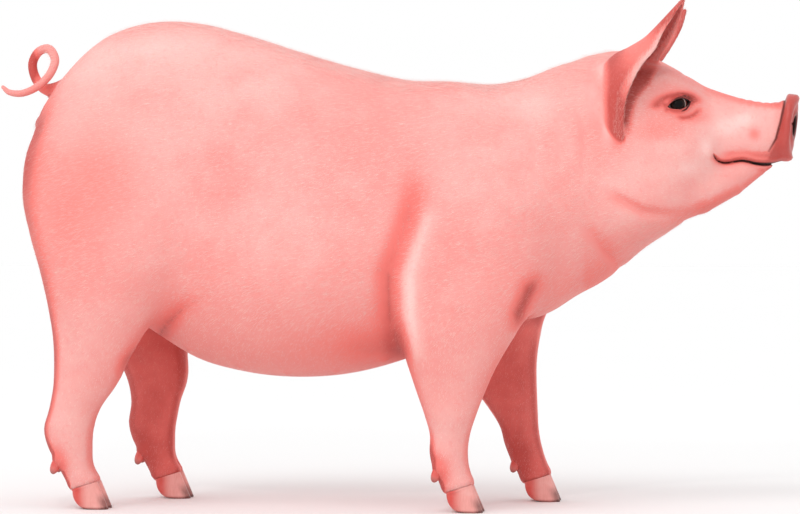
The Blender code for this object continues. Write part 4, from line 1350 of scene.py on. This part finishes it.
# redder places, partly painted shade behind the shoulder and the elbow and under the tail
RED_AND_SHADE_SPOTS = (
    ((0.040, 0.15, 0.600), (0.030, 0.2, 0.065), 0.34),
    ((-0.060, 0.15, 0.700), (0.090, 0.2, 0.070), 0.10),
    ((-0.550, 0.15, 0.620), (0.110, 0.2, 0.150), 0.34),
    ((-0.640, 0.15, 0.480), (0.060, 0.2, 0.150), 0.16),
    ((-0.150, 0.15, 0.480), (0.250, 0.2, 0.060), 0.10),
    ((-0.705, 0.10, 0.690), (0.042, 0.2, 0.100), 0.60),
    ((0.245, 0.12, 0.440), (0.075, 0.2, 0.036), 0.20),
    ((-0.040, 0.15, 0.314), (0.072, 0.2, 0.038), 0.38),
    ((0.490, 0.10, 0.715), (0.055, 0.1, 0.022), 0.26),
    ((0.575, 0.08, 0.742), (0.030, 0.1, 0.014), 0.20),
)

# Painted shade along the creases, in red and in dark lines: line, width, amount, stride of its limb
CREASE_SHADE = (
    (SHOULDER_CREASE, 0.026, 0.62, FORE_STRIDE),
    (ARM_CREASE, 0.017, 0.80, FORE_STRIDE),
    (FLANK_CREASE, 0.018, 0.50, HIND_STRIDE),
    (JOWL_CREASE, 0.017, 0.30, 0),
    (THROAT_CREASE, 0.020, 0.20, 0),
)
CREASE_SHADOW_LINES = (
    (SHOULDER_CREASE[2:], 0.005, 0.16, FORE_STRIDE),
    (ARM_CREASE, 0.0065, 0.17, FORE_STRIDE),
    (FLANK_CREASE, 0.0045, 0.20, HIND_STRIDE),
)


def mark_body(p, n, blush_and_shade, dark, painted_highlight):
    q, x, z = folded(p), p[:, 0], p[:, 2]
    down, rearward = -n[:, 2], -n[:, 0]
    inner = -np.sign(p[:, 1]) * n[:, 1]          # towards the midline
    low = 1 - ramp(z, 0.30, 0.44)
    # painted shade: redder on the inner sides of the legs, under the belly and under the throat
    blush_and_shade += 0.77 * ramp(inner, 0.05, 0.6) * low
    blush_and_shade += 0.24 * ramp(down, 0.05, 0.75) * ramp(z, 0.20, 0.27) * (1 - ramp(z, 0.42, 0.50)) * (x < 0.42)
    blush_and_shade += 0.25 * ramp(down, 0.15, 0.80) * (x >= 0.36) * (z < 0.66)
    # painted shade along the rear-facing sides of the lower legs, deepest at the feet, and along the front of
    # the lower legs
    behind = ramp(rearward, 0.45, 0.90)
    blush_and_shade += 0.80 * behind * (1 - ramp(z, 0.07, 0.17)) + 0.34 * behind * low
    blush_and_shade += 0.35 * ramp(n[:, 0], 0.55, 0.95) * low * (1 - ramp(z, 0.28, 0.34))
    # redder heels, with a spot of painted shade between the dewclaws
    for (side, _), (_, root) in FEET.items():
        heel = (root[0], side * FOOT_AXIS, root[1] - 0.004)
        blush_and_shade += spot(p, heel, (0.025, 0.05, 0.038))
        at_least(dark, 0.22 * spot(p, heel, (0.012, 0.012, 0.020)))
    # painted shade along the rear of the hams
    blush_and_shade += 0.62 * ramp(rearward, 0.48, 0.92) * (1 - ramp(z, 0.72, 0.86)) * (x < -0.5)
    # painted shade along the creases, red and in dark lines
    for line, width, amount, reach in CREASE_SHADE:
        blush_and_shade += crease(p, line, width, amount, reach)
    for line, width, amount, reach in CREASE_SHADOW_LINES:
        at_least(dark, crease(p, line, width, amount, reach))
    # painted highlight along the swell of the shoulder
    painted_highlight += crease(p, SHOULDER_SWELL[1:], 0.021, 1.4, FORE_STRIDE)
    # painted highlights, and redder places that are partly painted shade
    for tone, spots in ((painted_highlight, HIGHLIGHT_SPOTS), (blush_and_shade, RED_AND_SHADE_SPOTS)):
        for place, size, amount in spots:
            tone += amount * spot(q, place, size)
    blush_and_shade += 1.80 * spot(p, (-0.724, 0.004, 0.852), (0.014, 0.026, 0.036))    # painted shade in the tail's loop
    blush_and_shade += 1.15 * spot(p, (-0.676, 0.004, 0.806), (0.024, 0.020, 0.018))    # painted shade at its root
    # painted shade under the jaw
    blush_and_shade += 0.34 * ramp(down, 0.15, 0.60) * ramp(x, 0.50, 0.60) * (z < 0.68)


def mark_snout(p, n, blush_and_shade, dark, wet):
    x, z, d = p[:, 0], p[:, 2], disc_place(p)
    ahead_of_groove = x - np.interp(z, *np.array(SNOUT_GROOVE[::-1])[:, [1, 0]].T)
    softer = 1 + 4 * (1 - ramp(z, 0.672, 0.704))
    plate = ramp(ahead_of_groove / softer, -0.002, 0.003) * ramp(mouth_height(p), 0.002, 0.011)
    at_least(blush_and_shade, 0.92 * plate)
    at_least(dark, 0.10 * plate)
    blush_and_shade += 0.22 * plate * ramp(d[:, 0] + disc_bow(p[:, 1]), 0.006, 0.013)
    blush_and_shade += 0.30 * ramp(x, 0.70, 0.74) * (1 - plate)
    blush_and_shade += 0.40 * spot(folded(p), (0.678, 0.06, 0.712), (0.013, 0.1, 0.014))
    blush_and_shade += 0.46 * ramp(x, 0.47, 0.56) * ramp(n[:, 2], 0.55, 0.95)
    # painted shade inside the nostrils, around them and in the groove behind the disc
    hole = nostril_reach(d)
    at_least(dark, (1 - ramp(hole, 0.85, 1.35)) * ramp(d[:, 0], -0.03, -0.02))
    at_least(dark, 0.32 * (1 - ramp(hole, 1.2, 2.0)) * ramp(d[:, 0], -0.006, 0.002))
    at_least(dark, 0.50 * crease(p, SNOUT_GROOVE, 0.0026, 1.0) * (z < 0.792))
    wet += 0.9 * plate


def mark_eyes(p, blush_and_shade, dark, wet):
    e = eye_place(p)
    u, v = e[:, 0], e[:, 1]
    near = (np.abs(u) < 0.07) & (np.abs(v) < 0.06) & (e[:, 2] > -0.02) & (p[:, 0] > 0.45)
    upper, lower = lid_edges(u)
    above, below = v - upper, lower - v
    slit = np.maximum(np.maximum(above, below), np.abs(u) - SLIT_HALF)
    # painted shade along the slit, wider under the upper lid, and in the deep line below the front of the eye
    at_least(dark, near * (1 - ramp(slit, 0.0004, 0.0018 + 0.0009 * (above > below))))
    away, strength = drawn(e[:, :2], LID_LINE)
    at_least(dark, 0.85 * near * strength * (1 - ramp(away, 0.0006, 0.0024)))
    at_least(dark, 0.45 * near * bell(np.hypot(u - 0.013, (v - 0.0150) * 1.4), 0.0032))
    blush_and_shade += near * 0.50 * bell(slit - 0.004, 0.005)
    # painted shade under the brow and in the fold below the eye
    over = np.hypot((u + 0.006) / 2.0, v)
    brow = bell(over - 0.0195, 0.0062) * ramp(v, -0.006, 0.004)
    blush_and_shade += near * (0.62 * brow + 0.22 * brow * ramp(u, 0.0, 0.03))
    at_least(dark, 0.10 * near * brow)
    fold = bell(np.hypot((u - 0.008) / 1.35, v) - 0.0265, 0.0046)
    blush_and_shade += near * 0.60 * fold * ramp(-v, 0.008, 0.018) * ramp(u, -0.014, 0.000)
    blush_and_shade += near * 0.34 * bell(over, 0.034)
    wet += near * (1 - ramp(slit, 0.0, 0.002))


def mark_mouth(p, blush_and_shade, dark):
    x = p[:, 0]
    away, strength = traced(p, MOUTH)
    ahead = (x > 0.596) * strength
    wide = 0.0007 + 0.0012 * ramp(x, 0.63, 0.70)
    dim = (0.62 + 0.26 * ramp(x, 0.64, 0.69)) * (1 - 0.45 * ramp(x, 0.704, 0.714))
    # painted shade in the mouth's slit and softly along it
    at_least(dark, ahead * dim * (1 - ramp(away, wide, wide + 0.0018)))
    at_least(dark, 0.20 * ahead * bell(away, 0.0045))
    blush_and_shade += 0.40 * ahead * bell(away, 0.010)
    blush_and_shade += 0.34 * bell(mouth_height(p) - 0.014, 0.011) * ramp(x, 0.605, 0.63)


def mark_ears(whole, blush_and_shade, dark, painted_highlight):
    for sheet in EARS.values():
        here = ((whole > sheet.low) & (whole < sheet.high)).all(axis=1)
        p = whole[here]
        far, up, across, opened = sheet.nearest(p)
        on = 1 - ramp(far, 0.006, 0.012)
        hollow = on * ramp(opened, -0.0005, 0.0010) * (1 - ramp(np.abs(across), 0.80, 0.97))
        outside = on * (1 - ramp(opened, -0.0010, 0.0005))
        rim = on * ramp(across, 0.80, 0.97) * ramp(up, 0.22, 0.45) * (1 - ramp(up, 0.74, 0.92))
        inner_rim = on * ramp(-across, 0.86, 0.97)
        beside = ramp(opened, 0.0, 0.002) * (1 - hollow) * sheet.mouth(p, up)
        root = 1 - ramp(up, 0.34, 0.58)
        outside = outside * np.maximum(ramp(p[:, 0], 0.388, 0.414), ramp(up, 0.45, 0.6))
        outside = outside * (0.46 + 0.62 * root + 0.52 * ramp(up, 0.66, 0.9))
        # redder ear, with painted shade in its hollow and in the opening in front of the outer rim
        blush_and_shade[here] += 1.10 * hollow + outside + 0.35 * inner_rim
        blush_and_shade[here] += 0.85 * beside
        dark[here] = np.maximum(dark[here], (0.22 + 0.09 * across) * hollow + 0.15 * beside)
        # painted highlight along the outer rim
        painted_highlight[here] += 0.9 * rim
        blush_and_shade[here] *= 1 - 0.80 * rim
        # painted shade under the ear
        lobe = spot(folded(p), (0.424, 0.125, 0.708), (0.011, 0.05, 0.030)) * (1 - on)
        blush_and_shade[here] += 0.50 * lobe


def markings(p, n):
    """How red, dark and wet the skin is, with painted shade and painted highlights, at points with their
    outward directions.
    """
    blush_and_shade, dark, painted_highlight, wet = (np.zeros(len(p)) for _ in range(4))
    mark_body(p, n, blush_and_shade, dark, painted_highlight)
    mark_snout(p, n, blush_and_shade, dark, wet)
    mark_eyes(p, blush_and_shade, dark, wet)
    mark_mouth(p, blush_and_shade, dark)
    mark_ears(p, blush_and_shade, dark, painted_highlight)
    tones = {"blush_and_shade": (blush_and_shade, 1.2), "dark": (dark, 1.0), "painted_highlight": (painted_highlight, 1.5), "wet": (wet, 1.0)}
    return {word: np.clip(value, 0, most) for word, (value, most) in tones.items()}


def put(name, mesh, finish, slot_name, *nodes):
    """A finished piece on the body, standing for CAD nodes."""
    mesh.materials.clear()
    mesh.materials.append(finish)
    piece = bpy.data.objects.new(name, mesh)
    bpy.context.scene.collection.objects.link(piece)
    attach(piece, "root")
    if nodes:
        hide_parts(*nodes)
    return piece


FLESH_NODES = ["trunk", "neck", "head", "lower_jaw", "snout_disc", "tail_root", "tail_loop", "tail_tip"]
for side_name in SIDES.values():
    FLESH_NODES += [f"ear_{side_name}"]
    FLESH_NODES += [f"{part}_{side_name}" for part in ("hind_thigh", "hind_shank", "fore_arm", "fore_shank")]

skin_mesh = build_skin()
skin_points, skin_normals = points_of(skin_mesh), normals_of(skin_mesh)
tones = markings(skin_points, skin_normals)
for word, values in tones.items():
    store(skin_mesh, word, values)
skin = put("skin", skin_mesh, skin_finish(), "skin", *FLESH_NODES)


# ---------------------------------------------------------------- eyes and lashes
IRIS_RADIUS = 0.0132
LASH_WIDTH, LASH_STEPS, LASH_BEND = 0.0005, 4, 0.30
LASH_ROWS = ((0, 90, 0.0095), (1, 30, 0.0045))    # upper and lower lid: how many, how long
CORNER_LASHES = 16


def eyeball(side):
    """Ball with a slightly raised clear front; what is stored tells how far each point is from the pupil."""
    solid = bmesh.new()
    bmesh.ops.create_icosphere(solid, subdivisions=5, radius=EYE_RADIUS - 0.0003)
    centre, gaze, along, up = (v * (1, side, 1) for v in (EYE_CENTRE, EYE_OUT, EYE_ALONG, EYE_UP))
    points = places_of(solid)
    out, u, v = points @ gaze, points @ along + 0.0030, points @ up - 0.0012
    iris = np.where(out > 0, np.hypot(u, v) / IRIS_RADIUS, 3.0)
    pupil = np.where(out > 0, np.hypot(u / 1.35, v / 0.95) / IRIS_RADIUS, 3.0)
    raised = 1 + 0.030 * (1 - ramp(iris, 0.3, 1.0))
    put_places(solid, points * raised[:, None] + centre)
    mesh = smooth_mesh(solid, "eye_ball")
    store(mesh, "from_pupil", np.where(iris < 0.75, np.minimum(pupil, 0.75), iris))
    store(mesh, "front_corner", ramp(points @ along, 0.0095, 0.0135))
    return mesh


eye_material = eye_finish()
for side, side_name in SIDES.items():
    put(f"eyeball_{side_name}", eyeball(side), eye_material, "eye", f"eye_{side_name}")


def ribbons(roots, directions, lifts, lengths, width, bends, steps):
    """Flat tapering slivers: each starts at a root, runs along its direction and bends towards its lift."""
    t = np.linspace(0, 1, steps + 1)
    far, reach = t[None, :, None], lengths[:, None, None]
    run = directions[:, None, :] * (far * reach)
    rise = lifts[:, None, :] * (bends[:, None, None] * reach * far * (1 - 0.35 * far))
    spine = roots[:, None, :] + run + rise
    across = unit(np.cross(directions, lifts))[:, None, :] * (width / 2 * (1 - far[:, :-1] ** 1.5 * 0.6))
    body = np.stack([spine[:, :-1] + across, spine[:, :-1] - across], axis=2).reshape(len(roots), -1, 3)
    points = np.concatenate([body, spine[:, -1:]], axis=1)
    faces = []
    for a in range(0, 2 * steps - 2, 2):
        faces += [(a, a + 1, a + 3), (a, a + 3, a + 2)]
    faces.append((2 * steps - 2, 2 * steps - 1, 2 * steps))
    first = np.arange(len(roots)) * points.shape[1]
    along = np.tile(np.append(np.repeat(t[:-1], 2), 1.0), len(roots))
    return points.reshape(-1, 3), (first[:, None, None] + np.array(faces)).reshape(-1, 3), along


def lashes(side):
    """Short dark lashes on both lids, longest at the front."""
    rng = np.random.default_rng(41)
    rows = []
    for edge, number, length in LASH_ROWS:
        u = np.linspace(-0.0150, 0.0205, number) + rng.normal(0, 0.0003, number)
        v = lid_edges(u)[edge] + (0.0004 if edge == 0 else -0.0004)
        w = np.sqrt(np.maximum((EYE_RADIUS + LID_THICK) ** 2 - u * u - v * v, 1e-6)) - 0.0010
        root = EYE_CENTRE + u[:, None] * EYE_ALONG + v[:, None] * EYE_UP + w[:, None] * EYE_OUT
        away = 0.35 + 0.35 * rng.random(number)
        lean = (u / 0.02 * 0.9 + 0.55)[:, None] * EYE_ALONG
        direct = EYE_OUT * 0.8 + lean + EYE_UP * ((away if edge == 0 else -away)[:, None])
        rows.append((root, direct, length * (0.75 + 0.35 * u / 0.02 + 0.2 * rng.random(number))))

    # a tuft at the front corner
    number = CORNER_LASHES
    u = np.linspace(0.0185, 0.0222, number)
    v = 0.0014 + 0.0006 * rng.normal(0, 1, number)
    root = EYE_CENTRE + u[:, None] * EYE_ALONG + v[:, None] * EYE_UP
    root = root + np.sqrt((EYE_RADIUS + LID_THICK) ** 2 - u * u)[:, None] * EYE_OUT * 0.97
    direct = EYE_ALONG + EYE_OUT * 0.45 + EYE_UP * (0.05 + 0.30 * rng.random(number))[:, None]
    rows.append((root, direct, 0.0075 + 0.0030 * rng.random(number)))
    root, direct, length = (np.concatenate(row) for row in zip(*rows))
    direct = unit(direct)
    lift = unit(np.cross(direct, EYE_ALONG))
    lift *= np.sign(lift @ EYE_UP)[:, None]
    bends = np.full(len(root), LASH_BEND)
    points, faces, _ = ribbons(root, direct, lift, length, LASH_WIDTH, bends, LASH_STEPS)
    return mesh_from(points * (1, side, 1), faces, "lash")


lash_material = lash_finish()
for side, side_name in SIDES.items():
    put(f"lashes_{side_name}", lashes(side), lash_material, "eye")


# ---------------------------------------------------------------- claws and dewclaws
CLAW_SIDES, CLAW_RINGS, DEWCLAW_SIDES = 44, 44, 26
CLAW_EDGE = 0.0024         # height over which the sole's edge is worn round
GROWTH_RING = 0.0120       # from one growth ring to the next


def claw_mesh(toe, centre, away):
    """One claw, from its worn sole to a little way under the skin's edge, with growth rings."""
    point, up = coronet(toe)
    turns = np.arange(CLAW_SIDES) * 2 * math.pi / CLAW_SIDES
    ahead, across = (np.copysign(np.abs(way) ** 0.85, way) for way in (np.cos(turns), np.sin(turns)))
    rings = []
    for height in np.append((0.0, 0.0004, 0.0012, CLAW_EDGE), np.linspace(0.0040, CLAW_TOP, CLAW_RINGS)):
        front = -CLAW_SLOPE * height
        lift = 1 - min(height / CLAW_HEEL_HEIGHT, 1)
        over_heel = max(height - CLAW_HEEL_HEIGHT, 0)
        rear = -CLAW_SOLE - CLAW_HEEL * math.sqrt(1 - lift * lift) - CLAW_SLOPE * over_heel
        worn = 0.0016 * (1 - min(height / CLAW_EDGE, 1)) ** 2
        half = CLAW_HALF_WIDTH - worn - 0.0003 - 0.0012 * (1 - height / CLAW_TOP)
        half += 0.00012 * math.sin(height * 2 * math.pi / GROWTH_RING) * min(height / 0.01, 1)
        width = half * (1 - 0.18 * np.maximum(ahead, 0) ** 2)
        x = (front + rear) / 2 + (front - rear - 2 * worn) / 2 * ahead
        y = centre + away * CLAW_SPREAD + width * across
        ring = np.stack([toe + x, y, np.full(CLAW_SIDES, height)], axis=1)
        over = (ring[:, 0] - point.x) * up.x + (ring[:, 2] - point.z) * up.z
        slide = np.maximum(over - 0.0035, 0) / up.z
        ring[:, 2] -= slide
        ring[:, 0] += slide * CLAW_SLOPE
        rings.append(ring)
    mesh = rings_mesh(rings, "claw")
    p = points_of(mesh)
    ahead, beside, z = p[:, 0] - toe, away * (p[:, 1] - centre), p[:, 2]
    sole = 1 - ramp(z, 0.001, 0.006)
    tip = ramp(ahead + CLAW_SLOPE * z, -0.018, -0.002) * (1 - ramp(z, 0.012, 0.034))
    cleft = 1 - ramp(beside, 0.001, 0.007)
    store(mesh, "worn", np.clip(0.7 * sole + 0.75 * tip + 0.9 * cleft, 0, 1))
    store(mesh, "reddened", np.clip(ramp(-ahead, 0.036, 0.062) + 0.25 * sole, 0, 1))
    return mesh


def rings_mesh(rings, name):
    """Closed mesh through rings of points, with a cap on each end."""
    rings = np.array(rings)
    sides = rings.shape[1]
    solid = bmesh.new()
    rows = [[solid.verts.new(tuple(p)) for p in ring] for ring in rings]
    for low, high in zip(rows, rows[1:]):
        for n in range(sides):
            solid.faces.new((low[n], low[(n + 1) % sides], high[(n + 1) % sides], high[n]))
    for row, ring in ((rows[0], rings[0]), (rows[-1], rings[-1])):
        centre = solid.verts.new(tuple(ring.mean(0)))
        for n in range(sides):
            solid.faces.new((row[n], row[(n + 1) % sides], centre))
    bmesh.ops.remove_doubles(solid, verts=solid.verts, dist=2e-5)
    bmesh.ops.dissolve_degenerate(solid, dist=1e-5, edges=solid.edges)
    bmesh.ops.recalc_face_normals(solid, faces=solid.faces)
    return smooth_mesh(solid, name)


def dewclaw_mesh(root, side, away):
    """Blunt curved cone behind the pastern."""
    x, z = root
    point = Vector((-0.45, 0.12 * away, -0.88)).normalized()
    first = point.cross(Vector((0, 1, 0))).normalized()
    second = point.cross(first)
    start = Vector((x, side * FOOT_AXIS + away * DEWCLAW_SPREAD, z)) - point * 0.006
    turns = np.arange(DEWCLAW_SIDES) * 2 * math.pi / DEWCLAW_SIDES
    rings = []
    for far in np.append(np.linspace(0, 0.9, 16), (0.94, 0.97, 0.99)):
        wide = 0.97 * math.sqrt(max(1 - (far / 1.002) ** 3.2, 0)) * (1 + 0.02 * math.sin(far * 40))
        centre = start + point * (DEWCLAW_LENGTH - 0.003) * float(far) + first * 0.0016 * float(far * far)
        radius = DEWCLAW_RADIUS * wide
        rings.append([centre + radius * (math.cos(a) * first + 0.85 * math.sin(a) * second) for a in turns])
    mesh = rings_mesh(rings, "dewclaw")
    far = (points_of(mesh) - start) @ point / DEWCLAW_LENGTH
    store(mesh, "worn", 0.65 * ramp(far, 0.50, 0.95))
    store(mesh, "reddened", 0.95 - 0.45 * ramp(far, 0.3, 0.9))
    return mesh


horn = horn_finish()
for end in ("hind", "fore"):
    for side, side_name in SIDES.items():
        toe, root = FEET[side, end]
        for away, where in ((side, "outer"), (-side, "inner")):
            name = f"{side_name}_{where}"
            hoof, spur = claw_mesh(toe, side * FOOT_AXIS, away), dewclaw_mesh(root, side, away)
            put(f"{end}_hoof_{name}", hoof, horn, "claw", f"{end}_claw_{name}")
            put(f"{end}_spur_{name}", spur, horn, "claw", f"{end}_dewclaw_{name}")


# ---------------------------------------------------------------- bristles
BRISTLE_STEPS = 2
BRISTLE_MAP = 0.003                       # size of one bristle on the skin's unwrap
BARREL_SPLIT, HEAD_SPLIT = -0.16, 0.36    # where one piece of bristles ends and the next begins


def unwrap(piece):
    """An unwrap of a piece's own shape, kept as its map for the finish."""
    bpy.context.view_layer.objects.active = piece
    piece.select_set(True)
    piece.data.uv_layers.new(name="OFBake")
    bpy.ops.object.mode_set(mode="EDIT")
    bpy.ops.mesh.select_all(action="SELECT")
    bpy.ops.uv.smart_project(angle_limit=math.radians(66), island_margin=0.002)
    bpy.ops.object.mode_set(mode="OBJECT")
    piece.select_set(False)


def growth(p, n):
    """At points of the skin: how thick the bristles stand, how long, how raised, and which way they lie."""
    x, z = p[:, 0], p[:, 2]
    length, raised, density = (np.full(len(p), start) for start in (0.0140, 0.10, 1.0))
    leg, face = 1 - ramp(z, 0.24, 0.46), ramp(x, 0.40, 0.50)
    for region, longer, steeper, thicker in (
        (leg, -0.0060, 0, 0),
        (ramp(n[:, 2], 0.75, 0.95) * (z > 0.78) * (x < 0.42), 0.0100, 0.16, 0.7),    # along the back
        (face, -0.0065, 0, 0.8),
        (ramp(x, 0.58, 0.66), -0.0030, 0, 0),                                        # on the muzzle
        (face * ramp(-n[:, 2], 0.3, 0.8) * (x < 0.74), 0.0060, 0.14, 0),             # under the jaw
    ):
        length += longer * region
        raised += steeper * region
        density += thicker * region
    lie = np.tile((-1.0, 0.0, -0.30), (len(p), 1))
    for region, way in ((leg[:, None], (-0.25, 0.0, -1.0)), (face[:, None], (-1.0, 0.0, 0.12))):
        lie = lie * (1 - region) + np.array(way) * region

    # none on the disc, the lids and the lips, and few at the coronet
    density *= 1 - ramp(disc_place(p)[:, 0], -0.018, -0.013)
    e = eye_place(p)
    density[(np.hypot(e[:, 0] / 1.3, e[:, 1]) < 0.019) & (e[:, 2] > 0) & (x > 0.45)] = 0
    density[(traced(p, MOUTH)[0] < 0.006) & (x > 0.595)] = 0
    density[z < 0.052] *= 0.25
    for side, sheet in EARS.items():
        here = np.flatnonzero(((p > sheet.low) & (p < sheet.high)).all(axis=1))
        far, up, across, opened = sheet.nearest(p[here])
        on = far < 0.008
        here, across, opened = here[on], across[on], opened[on]
        lie[here] = unit(np.array((0.54, side * 0.135, 1.02)) - p[here])
        rim = np.abs(across) > 0.86
        length[here] = np.where(rim, 0.0105, 0.0070)
        raised[here] = np.where(rim, 0.35, 0.12)
        density[here] = np.where(rim, 3.2, np.where(opened > 0, 0.8, 1.1))
    on_tail = near_tail(p) & (x < -0.69)
    lie[on_tail] = (-0.3, 0.0, 0.4)
    length[on_tail] = 0.006
    return density, length, raised, lie


def bristles(number, seed, wanted, width):
    """Joined slivers rooted all over a part of the skin, each mapped to its root's place on its unwrap."""
    rng = np.random.default_rng(seed)
    corners = skin_corners
    a, b, c = (skin_points[corners[:, n]] for n in range(3))
    area = np.linalg.norm(np.cross(b - a, c - a), axis=1) / 2
    middles = (a + b + c) / 3
    density, length, raised, lie = growth(middles, skin_normals[corners].mean(axis=1))
    weight = area * density * wanted(middles[:, 0])
    picked = rng.choice(len(corners), number, p=weight / weight.sum())
    u, v = rng.random(number), rng.random(number)
    over = u + v > 1
    u, v = np.where(over, 1 - u, u), np.where(over, 1 - v, v)
    share = np.stack([1 - u - v, u, v], axis=1)

    def mix(table):
        return (share[:, :, None] * table).sum(axis=1)

    root = mix(skin_points[corners[picked]])
    normal = unit(mix(skin_normals[corners[picked]]))
    # redness and painted shade of the skin at each root
    blush_and_shade = mix(tones["blush_and_shade"][corners[picked]][:, :, None])[:, 0]
    direct = lie[picked] + rng.normal(0, 0.16, (number, 3))
    direct = unit(direct - normal * (direct * normal).sum(1)[:, None])
    long = length[picked] * (0.7 + 0.6 * rng.random(number))
    stand = raised[picked] * (0.6 + 0.8 * rng.random(number))
    tilt = unit(direct + normal * (stand * 1.1)[:, None])
    root = root - normal * 0.0004
    points, faces, along = ribbons(root, tilt, normal, long, width, stand * -0.25, BRISTLE_STEPS)
    mesh = mesh_from(points, faces, "bristles")
    store(mesh, "along", along)
    count = 2 * BRISTLE_STEPS + 1
    store(mesh, "blush_and_shade", np.repeat(blush_and_shade, count))
    offset = np.zeros((count, 2))
    offset[:, 0] = np.tile((-0.5, 0.5), BRISTLE_STEPS + 1)[:count] * BRISTLE_MAP
    offset[:, 1] = (np.arange(count) / (count - 1) - 0.5) * BRISTLE_MAP
    uv = (mix(skin_uv[skin_loops[picked]])[:, None, :] + offset[None]).reshape(-1, 2)
    mesh.uv_layers.new(name="OFBake").data.foreach_set("uv", uv[faces.ravel()].astype(np.float32).ravel())
    return mesh


unwrap(skin)
skin_mesh.calc_loop_triangles()
skin_corners = read(skin_mesh.loop_triangles, "vertices", 3, np.int32)
skin_loops = read(skin_mesh.loop_triangles, "loops", 3, np.int32)
skin_uv = read(skin_mesh.uv_layers["OFBake"].data, "uv", 2).astype(float)
bristle_material = bristle_finish()
for name, number, seed, wanted, width in (
    ("bristles_rear", 60000, 7, lambda x: x < BARREL_SPLIT, 0.00032),
    ("bristles_fore", 60000, 9, lambda x: (x >= BARREL_SPLIT) & (x < HEAD_SPLIT), 0.00032),
    ("bristles_head", 46000, 8, lambda x: x >= HEAD_SPLIT, 0.00026),
):
    put(name, bristles(number, seed, wanted, width), bristle_material, "skin")


# ---------------------------------------------------------------- floor, light and camera
floor_mesh = mesh_from([(-40, -40, 0), (40, -40, 0), (40, 40, 0), (-40, 40, 0)], [(0, 1, 2, 3)], "floor")
floor = bpy.data.objects.new("floor", floor_mesh)
bpy.context.scene.collection.objects.link(floor)
paper = Finish("floor_paper", 0.8)
paper.lead(paper.layered((0.84, 0.84, 0.84), (paper.noise(0.8, 2) * 0.5, (0.86, 0.86, 0.86))), "Base Color")
floor_mesh.materials.append(paper.material)

world = bpy.data.worlds.new("studio")
bpy.context.scene.world = world
world.use_nodes = True
sky = world.node_tree.nodes["Background"]
sky.inputs["Color"].default_value = (1, 1, 1, 1)
sky.inputs["Strength"].default_value = 1.0


def stood(name, data, place, facing):
    """A lamp or camera at a place, looking along a direction."""
    thing = bpy.data.objects.new(name, data)
    bpy.context.scene.collection.objects.link(thing)
    thing.location = place
    thing.rotation_mode = "QUATERNION"
    thing.rotation_quaternion = facing.to_track_quat("-Z", "Y")
    return thing


def lamp(name, kind, place, aim, energy):
    light = bpy.data.lights.new(name, kind)
    light.energy = energy
    stood(name, light, place, Vector(aim) - Vector(place))
    return light


lamp("key", "SUN", (-1.4, -2.2, 3.8), (0, 0, 0.5), 0.72).angle = math.radians(30)
glint = lamp("glint", "AREA", (-0.4, -2.6, 2.0), (0.55, 0, 0.75), 13)
glint.shape, glint.size = "DISK", 0.15

CAMERA_AIM, CAMERA_AWAY = Vector((0, 0, 0.479)), 6.0
CAMERA_TURN, CAMERA_RISE = math.radians(6), math.radians(0.5)
back_from = Vector((
    math.sin(CAMERA_TURN) * math.cos(CAMERA_RISE),
    -math.cos(CAMERA_TURN) * math.cos(CAMERA_RISE),
    math.sin(CAMERA_RISE),
))
lens = bpy.data.cameras.new("camera")
lens.lens, lens.sensor_width, lens.clip_end = 140, 36, 200
bpy.context.scene.camera = stood("camera", lens, CAMERA_AIM + back_from * CAMERA_AWAY, -back_from)
bpy.context.scene.view_settings.view_transform = "Standard"
